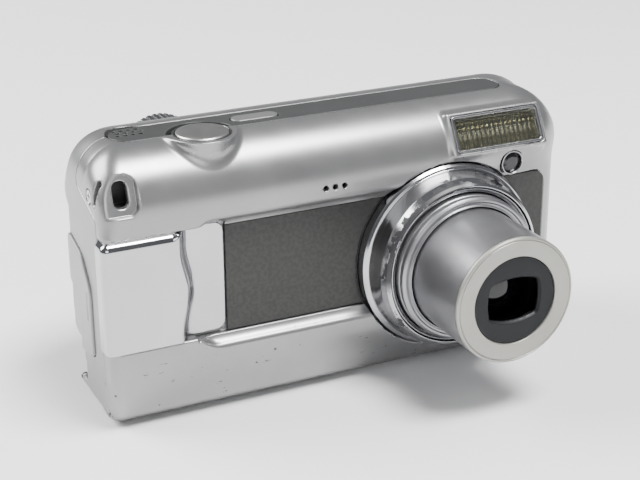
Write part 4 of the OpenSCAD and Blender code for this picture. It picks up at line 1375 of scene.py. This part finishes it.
@dataclass
class RearCover:
    """Silver rear cover with its recesses."""

    lay: Layout
    parts: CasingSolids
    paint: SilverPaint = COVER_PAINT

    def solid(self) -> Solid:
        """The whole cover."""
        lay, parts = self.lay, self.parts
        form = lay.form.solid()
        dial = (lay.dial[0], lay.dial[2])
        inner = form.grown(-parts.wall)
        cup = rod(1, dial, 9.7, 9.8, 15.7)
        nut = box((13.9, -3.5, 0.5), (26.9, 9.5, 3))
        cover = form - (inner - cup - nut)
        cover = cover.cut(rod(1, dial, 8.7, 10.8, FAR), 0.3)
        middle, size = lay.screen_outline(0.07)
        cover = cover.cut(pill(1, middle, size, 14.85, FAR, 2.05), 0.2)
        cover = cover - pill(1, middle, (size[0] - 2.4, size[1] - 2), 0, FAR, 1.0)
        thumb = rod(1, (lay.pad[0], lay.pad[2]), 11.4, 15.35, FAR, 0.0)
        cover = cover.cut(thumb, 0.3)
        cover = cover.cut(rod(1, (lay.pad[0], lay.pad[2]), 9.35, 9, FAR), 0.2)
        cover = cover.cut(pill(1, (lay.rocker[0], lay.rocker[2]), (6.2, 12.6), 9, FAR, 3.1), 0.25)
        for key in (lay.print_key, lay.play_key):
            cover = cover.cut(rod(1, (key[0], key[2]), 2.42, 9, FAR), 0.12)
        for z in (37.6, 35.2):
            cover = cover.cut(rod(1, (lay.print_key[0], z), 0.6, 9, FAR), 0.1)
        for key in (lay.display_key, lay.menu_key):
            cover = cover.cut(pill(1, (key[0], key[2]), (7.4, 3.8), 9, FAR, 1.9), 0.12)
        ports = box((-FAR, 1.15, 17.9), (-50, 4.45, 25.8)) | rod(0, (2.8, 29.8), 1.5, -FAR, -50)
        flap = parts.terminal_region(0.18).meet(half_space((1, 0, 0), -45)) - form.grown(-0.95)
        cover = cover.cut(ports, 0.1).cut(flap, 0.15)
        cover = cover.cut(rod(2, lay.socket[:2], 5.5, -1, 8), 0.15)
        cover = cover.cut(parts.strip_region().grown(0.1), 0.12).cut(parts.power_bore(), 0.1)
        cover = cover - rod(2, (-41.2, -3.6), 4.3, 46, 55)
        cover = cover.cut(parts.screw_seats(), 0.15).cut(parts.door_region(), 0.2)
        cover = cover.cut(parts.front_region().grown(0.09), 0.22)
        return cover | rod(1, dial, 1.5, 10.4, 13.8)

    def build(self, finishes: Finishes) -> None:
        """Builds the cover."""
        piece = Mesher(0.32, keep=0.42).build("rear_shell", self.solid(), (-52, -15, 0), (52.6, 15.8, 55.3))
        piece_on(piece, "body", finishes.of(self.paint), ["rear_cover"])


@dataclass
class GripPlate:
    """Bright plate on the left of the front, stepped down to its tab."""

    lay: Layout
    low: float = 17.0
    high: float = 39.4
    thick: float = 0.9

    def form(self) -> Solid:
        """Outer form that the plate's front follows."""
        face = half_space((0, -1, 0), 19.1).meet(half_space((-1, 0, 0), 52.4), 1.5)
        slope = half_space((3.1, -1.7, 0), 3.1 * -37.2 + 1.7 * 19.1)

        def bowed(x: Array, y: Array, z: Array) -> Array:
            """Riser that bows outwards at half its height."""
            bow = np.cos(np.clip((z - 27.2) / 8.5, -1, 1) * math.pi / 2) ** 2
            return slope.at(x - 1.3 * bow, y, z)

        tab = half_space((0, -1, 0), 16.0)
        return face.meet(Solid(bowed).join(tab, 0.8), 0.45)

    def solid(self) -> Solid:
        """The whole plate."""
        ends = half_space((0, 0, 1), self.high)
        form = self.form()

        def roll(x: Array, y: Array, z: Array) -> Array:
            """Plate whose top edge is rolled over, up to the step."""
            return round_max(form.at(x, y, z), ends.at(x, y, z), np.interp(x, [-38.5, -36], [1.7, 0.2]))

        rolled = Solid(roll).meet(half_space((0, 0, -1), -self.low), 0.3)
        corner = pill(1, (-67.45, 28.2), (80, 22.4), -FAR, FAR, 2.2)
        rolled = rolled.meet(corner, 0.25)
        inside = self.form().grown(-self.thick).meet(half_space((0, 0, 1), self.high - 0.7), 1.0)
        sheet = rolled.cut(inside, 0.1)
        return sheet.meet(half_space((0, 1, 0), -14.9), 0.15)

    def build(self, finishes: Finishes) -> None:
        """Builds the plate."""
        piece = Mesher(0.2, keep=0.5).build("grip_plate_sheet", self.solid(), (-52.6, -19.3, 16.8),
                                            (-27.2, -14.7, 39.6))
        piece_on(piece, "body", finishes.of(BRIGHT_PLATE), ["grip_plate"])


@dataclass
class FrontPanels:
    """Dark plates on both sides of the lens, and the strip in the top."""

    lay: Layout
    parts: CasingSolids

    def build(self, finishes: Finishes) -> None:
        """Builds the plates and the strip."""
        lay = self.lay
        ring = lay.lens_rod(19.7, 0, FAR)
        dark = finishes.of(PANEL_PLASTIC)
        left = box((-27.2, -16, 16.45), (lay.lens[0], -15.25, 38.45), 0.12).cut(ring, 0.12)
        piece = Mesher(0.25, keep=0.4).build("left_dark_plate", left, (-27.4, -16.1, 16.3),
                                             (20.4, -15.1, 38.6))
        piece_on(piece, "body", dark, ["left_panel"])
        parts = self.parts
        right = parts.right_outline(0.0).meet(parts.panel_core(0.0), 0.12).cut(parts.panel_core(0.8), 0.0)
        right = right.cut(ring, 0.12) & half_space((-1, 0, 0), -lay.lens[0] - 0.05)
        piece = Mesher(0.22, keep=0.4).build("right_dark_plate", right, (20.3, -16.2, 16.3), (45, -10, 38.6))
        piece_on(piece, "body", dark, ["right_panel"])
        strip = self.parts.strip_region().meet(lay.form.solid().grown(-0.03), 0.18)
        strip = strip.cut(rod(2, lay.shutter[:2], 6.75, 40, FAR), 0.15).cut(self.parts.power_bore(), 0.12)
        for row in range(3):
            for i in range(4):
                place = (-41.2 - 2.4 + 1.5 * i + 0.4 * (row % 2), -3.6 - 1.5 + 1.5 * row)
                strip = strip.cut(rod(2, place, 0.4, 50, FAR), 0.08)
        piece = Mesher(0.2, keep=0.4).build("top_strip", strip, (-45.5, -8.7, 53.8), (38.7, -0.8, 55.2))
        piece_on(piece, "body", finishes.of(STRIP_PLASTIC), ["top_panel"])


@dataclass
class LensUnit:
    """Chrome ring, tubes, face ring and mask of the lens, turned about its axis."""

    lay: Layout

    def turned(self, name: str, profile: Sequence[Point], steps: int = 200) -> bpy.types.Object:
        """Turns a profile of radius, reach and fillet about the lens axis."""
        middle = (self.lay.lens[0], 0, self.lay.lens[2])
        return Turned(tuple(profile), steps=steps).build(name, Facing.FRONT, middle)

    def build(self, finishes: Finishes) -> None:
        """Builds the lens pieces."""
        surround = self.turned("ring_gap_liner", [
            (19.5, 15.25, 0), (19.72, 15.25, 0), (19.72, 16.1, 0.05), (19.5, 16.1, 0.05)])
        piece_on(surround, "body", finishes.of(MATT_BLACK), ["lens_surround"])
        ring = self.turned("chrome_ring", [
            (16.4, 15.3, 0.1), (19.4, 15.3, 0.1), (19.4, 18.3, 0.25), (18.95, 18.85, 0.3), (18.5, 18.95, 0.35),
            (18.15, 20.4, 0.8), (17.75, 22.6, 1.6), (17.15, 24.1, 0.5), (16.7, 24.7, 0.3), (16.4, 24.7, 0.15)])
        piece_on(ring, "body", finishes.of(RING_PLATE), ["lens_ring"])
        insert = self.turned("ring_inner_sleeve", [
            (15.3, 17.2, 0.1), (16.2, 17.2, 0.1), (16.2, 24.35, 0.2), (15.95, 24.45, 0.15), (15.6, 24.1, 0.15),
            (15.3, 24.0, 0.1)])
        piece_on(insert, "body", finishes.of(SATIN_PLATE), ["ring_insert"])
        middle = self.turned("middle_tube_skin", [
            (13.1, 8, 0.1), (15, 8, 0.1), (15, 25.1, 0.1), (14.85, 25.25, 0.08), (14.85, 25.5, 0.08),
            (15, 25.65, 0.1), (15, 26.6, 0.35), (14.5, 27, 0.25), (14.1, 27, 0.15), (13.9, 26.7, 0.15),
            (13.5, 26.7, 0.15), (13.3, 27, 0.12), (13.1, 27, 0.08)])
        piece_on(middle, "middle", finishes.of(TUBE_PAINT), ["middle_tube"])
        face = self.turned("face_ring_skin", [
            (8.92, 42.98, 0.05), (12.78, 42.98, 0.05), (12.78, 43.55, 0.2), (12.5, 43.8, 0.15),
            (12.32, 43.8, 0.06), (12.18, 43.62, 0.05), (12.04, 43.8, 0.06), (9.1, 43.8, 0.12),
            (8.92, 43.65, 0.1)])
        self.notch(face)
        piece_on(face, "barrel", finishes.of(FACE_METAL), ["face_ring"])

    def notch(self, face: bpy.types.Object) -> None:
        """Sinks the small alignment dot beside the window into the face ring."""
        points = read_points(face.data)
        centre = np.array([self.lay.lens[0] - 10.8, self.lay.lens[2]])
        away = np.hypot(points[:, 0] - centre[0], points[:, 2] - centre[1])
        dip = np.clip(1 - away / 0.6, 0, 1) * (points[:, 1] < -43.5)
        points[:, 1] += dip * 0.35
        face.data.vertices.foreach_set("co", (points * MM).ravel())

    def mask(self, finishes: Finishes) -> None:
        """Builds the mask with its barrel-shaped window; the coated glass behind it stays an imported node."""
        lens = (self.lay.lens[0], self.lay.lens[2])
        disc = self.lay.lens_rod(8.83, 42.5, 43.42, 0.12)
        opening = None
        for dx, dz in ((0, -14 + 4.35), (0, 14 - 4.35), (-14 + 5.55, 0), (14 - 5.55, 0)):
            part = rod(1, (lens[0] + dx, lens[1] + dz), 14.0, -60, 0)
            opening = part if opening is None else opening.meet(part, 0.3)
        slope = Solid(lambda x, y, z: opening.at(x, y, z) - np.clip(-y - 42.9, 0, 1) * 0.8)
        piece = Mesher(0.12, keep=0.5).build(
            "lens_mask", disc.cut(slope, 0.1), (11.4, -43.6, 15.4), (29.4, -42.3, 33.4))
        piece_on(piece, "barrel", finishes.of(DISC_GREY), ["aperture_disc"])


@dataclass
class FlashUnit:
    """Ribbed flash window in its thin frame, with the focus lamp below it."""

    lay: Layout
    ribs: int = 17

    def build(self, finishes: Finishes) -> None:
        """Builds the flash pieces."""
        frame_at = self.lay.flash_frame()
        wide, tall = self.lay.flash_size[0] / 2, self.lay.flash_size[1] / 2
        bezel = pill(1, (0, 0), (2 * wide + 1.1, 2 * tall + 1.1), -0.62, 2.3, 0.95, 0.15)
        bezel = bezel.cut(pill(1, (0, 0), (2 * wide, 2 * tall), -5, 5, 0.5), 0.12).moved(frame_at)
        low, high = (20.5, -22, 42), (43.5, -10, 56)
        piece = Mesher(0.16, keep=0.5).build("flash_frame", bezel, low, high)
        piece_on(piece, "body", finishes.of(SATIN_PLATE), ["flash_bezel"])
        pitch = 2 * (wide - 0.3) / self.ribs
        pane = pill(1, (0, 0), (2 * wide - 0.1, 2 * tall - 0.1), -0.3, 0.6, 0.45, 0.06)

        def ribbed(x: Array, y: Array, z: Array) -> Array:
            """Pane whose back is fluted into upright ribs."""
            swing = np.abs(np.sin(math.pi * (x / pitch + 0.5)))
            fade = np.clip((tall - 0.35 - np.abs(z)) / 0.2, 0, 1)
            return round_max(pane.at(x, y, z), (y - 0.62 + 0.42 * (1 - swing) * fade) * 0.6, 0.0)

        window = Solid(ribbed).moved(frame_at)
        piece = Mesher(0.13, keep=0.6).build("flash_ribbed_window", window, low, high)
        piece_on(piece, "body", finishes.of(CLEAR_RIBS), ["flash_window"])
        lamp = (self.lay.lamp[0], 0, self.lay.lamp[2])
        lens = Turned(((0, 14.6, 0), (2.1, 14.6, 0.05), (2.1, 18.0, 0.15), (1.2, 18.32, 1.5), (0, 18.38, 0)),
                      closed=False, steps=64).build("focus_lamp_lens", Facing.FRONT, lamp)
        piece_on(lens, "body", finishes.of(GLOSS_BLACK), ["focus_lamp"])
        rim = Turned(((2.15, 14.7, 0.05), (2.5, 14.7, 0.05), (2.5, 18.62, 0.12), (2.28, 18.62, 0.1),
                      (2.15, 18.4, 0.05)), steps=64).build("focus_lamp_rim", Facing.FRONT, lamp)
        piece_on(rim, "body", finishes.of(SATIN_PLATE))


@dataclass
class TopControls:
    """Shutter and power buttons, and the pocket's rims."""

    lay: Layout

    def build(self, finishes: Finishes) -> None:
        """Builds the top controls."""
        x, y = self.lay.shutter[:2]
        button = Turned(((0, 49.4, 0), (1.4, 49.4, 0.1), (1.4, 53.6, 0.1), (5.1, 53.6, 0.1), (5.1, 55.3, 0.35),
                         (4.3, 55.5, 1.2), (0, 55.6, 0)), closed=False, steps=128).build(
            "shutter_cap", Facing.TOP, (x, y, 0))
        piece_on(button, "shutter", finishes.of(BUTTON_PLATE), ["shutter_button"])
        rim = Turned(((5.32, 54.2, 0), (5.75, 54.2, 0), (5.75, 55.14, 0.14), (5.32, 55.14, 0.1)),
                     steps=128).build("shutter_rim", Facing.TOP, (x, y, 0))
        piece_on(rim, "body", finishes.of(SATIN_PLATE))
        px, py = self.lay.power[:2]
        cap = pill(2, (px, py), (9.6, 3.5), 52.2, 55.3, 1.75, 0.3)
        power = cap | pill(2, (px, py), (4.8, 1.75), 50.4, 52.5, 0.87)
        piece = Mesher(0.16, keep=0.5).build("power_key", power, (px - 5, py - 2, 50.2),
                                             (px + 5, py + 2, 55.5))
        piece_on(piece, "power", finishes.of(POWER_PLASTIC), ["power_button"])


@dataclass
class RearControls:
    """Knurled dial, zoom rocker, direction pad and the small keys."""

    lay: Layout

    def build(self, finishes: Finishes) -> None:
        """Builds the rear controls."""
        lay = self.lay
        self.dial(finishes)
        rx, rz = lay.rocker[0], lay.rocker[2]
        dish = Solid(lambda x, y, z: np.sqrt((x - rx) ** 2 + (y - 39.6) ** 2 + ((z - rz) * 0.9) ** 2) - 23.5)
        rocker = pill(1, (rx, rz), (5.6, 12), 13.4, 16.5, 2.8, 0.5).cut(dish, 0.2)
        for side in (-1, 1):
            rocker = rocker | rod(1, (rx, rz + side * 4.2), 0.35, 15, 16.42, 0.1)
        self.key("zoom_rocker_cap", rocker, "rocker", "zoom_rocker", (rx, rz), 7, finishes)
        px, pz = lay.pad[0], lay.pad[2]
        pad = rod(1, (px, pz), 9, 13.7, 16.5, 0.6).cut(rod(1, (px, pz), 4.15, 0, FAR), 0.3)
        groove = Solid(lambda x, y, z: np.hypot(np.hypot(x - px, z - pz) - 6.6, (y - 18.0)) - 1.75)
        pad = pad.cut(groove, 0.2)
        for turn in range(4):
            cx, cz = px + 7.9 * math.cos(turn * math.pi / 2), pz + 7.9 * math.sin(turn * math.pi / 2)
            pad = pad.cut(rod(1, (cx, cz), 0.3, 16.3, FAR), 0.05)
        self.key("direction_ring", pad, "pad", "direction_pad", (px, pz), 9.3, finishes)
        centre = rod(1, (px, pz), 3.65, 12.1, 16.7, 0.35)
        self.key("set_key", centre, "set", "set_button", (px, pz), 4, finishes)
        for name, body, node, place in (("print_key", "print", "print_button", lay.print_key),
                                        ("playback_key", "playback", "playback_button", lay.play_key)):
            at = (place[0], place[2])
            self.key(name, rod(1, at, 2.2, 12.1, 16.2, 0.3), body, node, at, 2.5, finishes)
        for name, body, node, place in (("display_key", "display", "display_button", lay.display_key),
                                        ("menu_key", "menu", "menu_button", lay.menu_key)):
            at = (place[0], place[2])
            self.key(name, pill(1, at, (7, 3.4), 12.1, 16.1, 1.7, 0.3), body, node, at, 3.8, finishes)

    def dial(self, finishes: Finishes) -> None:
        """Builds the knurled mode dial with its raised pointer marks."""
        dx, dz = self.lay.dial[0], self.lay.dial[2]
        plain = rod(1, (dx, dz), 8.28, 11.1, 16.1, 0.35)

        def knurled(x: Array, y: Array, z: Array) -> Array:
            """Dial with forty upright flutes."""
            angle = np.arctan2(z - dz, x - dx)
            flute = 0.5 + 0.5 * np.cos(angle * 40)
            return round_max(plain.at(x, y, z), np.hypot(x - dx, z - dz) - 8.3 + 0.34 * flute ** 3, 0.1)

        dial = Solid(knurled).cut(rod(1, (dx, dz), 6.7, 15.85, FAR), 0.15)
        for k in range(8):
            at = (dx + 5.3 * math.cos(k * math.pi / 4), dz + 5.3 * math.sin(k * math.pi / 4))
            dial = dial | rod(1, at, 0.55 if k else 0.8, 15.6, 16.0, 0.08)
        dial = dial - rod(1, (dx, dz), 1.56, 0, 13.9)
        self.key("mode_dial_cap", dial, "dial", "mode_dial", (dx, dz), 8.6, finishes)

    def key(self, name: str, solid: Solid, body: str, node: str, at: Sequence[float], reach: float,
            finishes: Finishes) -> None:
        """Builds one key.

        Args:
            name: Name of the piece.
            solid: Its solid.
            body: The body it rides on.
            node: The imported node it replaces.
            at: Its middle across and above.
            reach: Half the size of the searched box.
            finishes: The materials.
        """
        low, high = (at[0] - reach, 10.4, at[1] - reach), (at[0] + reach, 17, at[1] + reach)
        piece = Mesher(0.17, keep=0.5).build(name, solid, low, high)
        piece_on(piece, body, finishes.of(SATIN_PLATE), [node])


@dataclass
class Openings:
    """Battery door, terminal cover, liner of the strap slots and screen window.

    Attributes:
        lay: Shared places.
        parts: Shared solids.
        grip_lines: Finger lines in the door.
        line_pitch: Their spacing.
        arm_starts: Where the hinge arms' notches begin.
    """

    lay: Layout
    parts: CasingSolids
    grip_lines: int = 4
    line_pitch: float = 1.6
    arm_starts: tuple[float, ...] = (-13.75, 3.65)

    def door(self) -> Solid:
        """Battery door with its finger lines, hinge barrel and arm notches."""
        parts, form = self.parts, self.lay.form.solid()
        pin_x, pin_z = parts.door_pin
        front, back = parts.door_front, parts.door_back
        region = box((-FAR, front, -2), (parts.door_right, back, parts.door_top), 0.2)
        door = form.cut(form.grown(-parts.wall), 0.0).meet(region, 0.15)
        door = door.meet(half_space((-2.2, 0, 3.0), -2.2 * pin_x + 3.0 * pin_z), 0.1)
        for i in range(self.grip_lines):
            start = -6.2 + self.line_pitch * i
            door = door.cut(box((start, -9, -1), (start + 0.7, 0, 0.25), 0.1), 0.1)
        door = door | rod(1, parts.door_pin, parts.door_barrel, front, back, 0.1)
        for y in self.arm_starts:
            door = door - box((pin_x - 1, y, 1.75), (pin_x + 1.4, y + 1, 5))
        return door - rod(1, parts.door_pin, 0.42, -20, 20)

    def flap(self) -> Solid:
        """Rubber cover on the left side, with its finger notch."""
        form = self.lay.form.solid()
        flap = self.parts.terminal_region(0.0).meet(form.grown(0.58), 0.45)
        flap = flap.meet(half_space((-1, 0, 0), 52.38), 0.3).meet(half_space((1, 0, 0), -45), 0.1)
        flap = flap.cut(form.grown(-0.6), 0.05)
        return flap.cut(box((-53, -7.9, 20), (-52.1, -6.9, 26), 0.3), 0.1)

    def build(self, finishes: Finishes) -> None:
        """Builds the pieces."""
        piece = Mesher(0.22, keep=0.45).build("battery_door_shell", self.door(), (-52, -14.4, -0.1),
                                              (2.1, 5.2, 4))
        piece_on(piece, "door", finishes.of(COVER_PAINT), ["battery_door"])
        piece = Mesher(0.2, keep=0.5).build("terminal_flap_skin", self.flap(), (-52.6, -9.2, 11.4),
                                            (-49, 5.6, 34.8))
        piece_on(piece, "terminal_flap", finishes.of(SOFT_RUBBER), ["terminal_cover"])
        piece = Mesher(0.2, keep=0.4).build("strap_slot_liner", self.parts.slot_liner(), (-51, -15.6, 44),
                                            (-44, -11.8, 51))
        piece_on(piece, "body", finishes.of(MATT_BLACK))
        low, high = self.lay.screen
        middle, size = self.lay.screen_outline(0.0)
        pane = pill(1, middle, size, low[1], high[1], 2.0, 0.12)
        piece = Mesher(0.3, keep=0.3).build("screen_pane", pane, low - 0.2, high + 0.2)
        piece_on(piece, "body", finishes.of(SCREEN_GLOSS), ["screen_window"])


NODE_FINISH: dict[str, object] = {
    "lens_housing": MATT_BLACK, "cam_ring": MATT_BLACK, "front_barrel": TUBE_PAINT, "front_lens": LENS_GLASS,
    "rear_lens": LENS_GLASS, "upper_inner_blade": MATT_BLACK, "upper_outer_blade": MATT_BLACK,
    "lower_inner_blade": MATT_BLACK, "lower_outer_blade": MATT_BLACK, "idler_gear": WHITE_NYLON,
    "motor_pinion": BRASS, "zoom_motor": PLAIN_STEEL, "focus_carrier": MATT_BLACK, "focus_screw": PLAIN_STEEL,
    "focus_motor": PLAIN_STEEL, "image_sensor": BOARD, "case_screws": PLAIN_STEEL,
    "flash_reflector": REFLECTOR_METAL, "flash_tube": TUBE_GLASS, "flash_capacitor": SLEEVE,
    "microphone": PLAIN_STEEL, "speaker": MATT_BLACK, "pad_pivot": MATT_BLACK, "button_frame": MATT_BLACK,
    "screen_module": FRAME_STEEL, "main_board": BOARD, "chassis": PLAIN_STEEL, "battery_box": MATT_BLACK,
    "batteries": CELL_WRAP, "memory_card": CARD_BLUE, "door_slide": PLAIN_STEEL, "tripod_socket": SOCKET_METAL,
}


def dress_nodes(finishes: Finishes) -> None:
    """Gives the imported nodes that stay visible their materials."""
    for node, recipe in NODE_FINISH.items():
        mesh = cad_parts[node].data
        mesh.materials.clear()
        mesh.materials.append(finishes.of(recipe))
        LOG.info("%s keeps its mesh and takes %s", node, recipe.name)


# ------------------------------------------------------------------ studio

@dataclass
class Studio:
    """Pale floor, soft lights and the camera.

    Attributes:
        azimuth: Camera direction round the object in degrees; 0 looks at the front.
        elevation: Camera height angle in degrees.
        roll: Camera roll in degrees.
        distance: Camera distance in millimetres.
        target: Point on the camera's axis.
        lens: Focal length for a 36 mm sensor.
    """

    azimuth: float = -25.52
    elevation: float = 22.01
    roll: float = -0.29
    distance: float = 311.71
    target: Point = (0.37, 0.0, 24.55)
    lens: float = 84.26

    def camera(self) -> None:
        """Places the camera."""
        a, e, r = (math.radians(v) for v in (self.azimuth, self.elevation, self.roll))
        back = Vector((math.sin(a) * math.cos(e), -math.cos(a) * math.cos(e), math.sin(e)))
        right = Vector((math.cos(a), math.sin(a), 0))
        up = back.cross(right)
        right, up = right * math.cos(r) + up * math.sin(r), up * math.cos(r) - right * math.sin(r)
        data = bpy.data.cameras.new("view")
        data.sensor_width, data.lens = 36.0, self.lens
        data.clip_start, data.clip_end = 0.01, 20.0
        made = bpy.data.objects.new("view", data)
        bpy.context.scene.collection.objects.link(made)
        place = (Vector(self.target) + back * self.distance) * MM
        turn = Matrix((right, up, back)).transposed().to_4x4()
        made.matrix_world = Matrix.Translation(place) @ turn
        bpy.context.scene.camera = made

    def light(self, name: str, place: Point, size: tuple[float, float], power: float,
              towards: Point = (0, 0, 0.03)) -> None:
        """Hangs one soft light.

        Args:
            name: Its name.
            place: Where it hangs, in metres.
            size: Its width and height in metres.
            power: Its power in watts.
            towards: The point it faces.
        """
        data = bpy.data.lights.new(name, "AREA")
        data.shape, data.size, data.size_y, data.energy = "RECTANGLE", size[0], size[1], power
        made = bpy.data.objects.new(name, data)
        bpy.context.scene.collection.objects.link(made)
        made.location = place
        made.rotation_euler = (Vector(place) - Vector(towards)).to_track_quat("Z", "Y").to_euler()

    def build(self) -> None:
        """Sets the stage."""
        self.camera()
        g = Graph("pale_paper")
        tone = g.mix(g.noise(120.0), (0.80, 0.80, 0.80), (0.83, 0.83, 0.83))
        paper = g.finish(Base_Color=tone, Roughness=0.6, Normal=g.bump(g.noise(1.5), 0.02))
        corners = [(-3000, -3000, 0), (3000, -3000, 0), (3000, 3000, 0), (-3000, 3000, 0)]
        floor = link("floor", mesh_from("floor", np.array(corners, float), [(0, 1, 2, 3)]))
        floor.data.materials.append(paper)
        world = bpy.context.scene.world or bpy.data.worlds.new("room")
        bpy.context.scene.world = world
        world.use_nodes = True
        world.node_tree.nodes["Background"].inputs["Color"].default_value = (0.92, 0.95, 1.0, 1)
        world.node_tree.nodes["Background"].inputs["Strength"].default_value = 0.2
        self.light("overhead", (0.20, -0.32, 0.95), (0.42, 0.36), 24.0)
        self.light("left_rear", (-0.75, 0.55, 0.75), (0.8, 0.8), 30.0)
        self.light("front_fill", (-0.3, -1.2, 0.5), (0.8, 0.5), 5.0)


def main() -> None:
    """Builds the camera and its studio."""
    logging.basicConfig(level=logging.INFO, format="%(name)s: %(message)s")
    Studio().build()
    finishes = Finishes()
    lay = Layout()
    parts = CasingSolids(lay)
    FrontCover(lay, parts).build(finishes)
    RearCover(lay, parts).build(finishes)
    GripPlate(lay).build(finishes)
    FrontPanels(lay, parts).build(finishes)
    lens = LensUnit(lay)
    lens.build(finishes)
    lens.mask(finishes)
    FlashUnit(lay).build(finishes)
    TopControls(lay).build(finishes)
    RearControls(lay).build(finishes)
    Openings(lay, parts).build(finishes)
    dress_nodes(finishes)


if __name__ == "__main__":
    main()
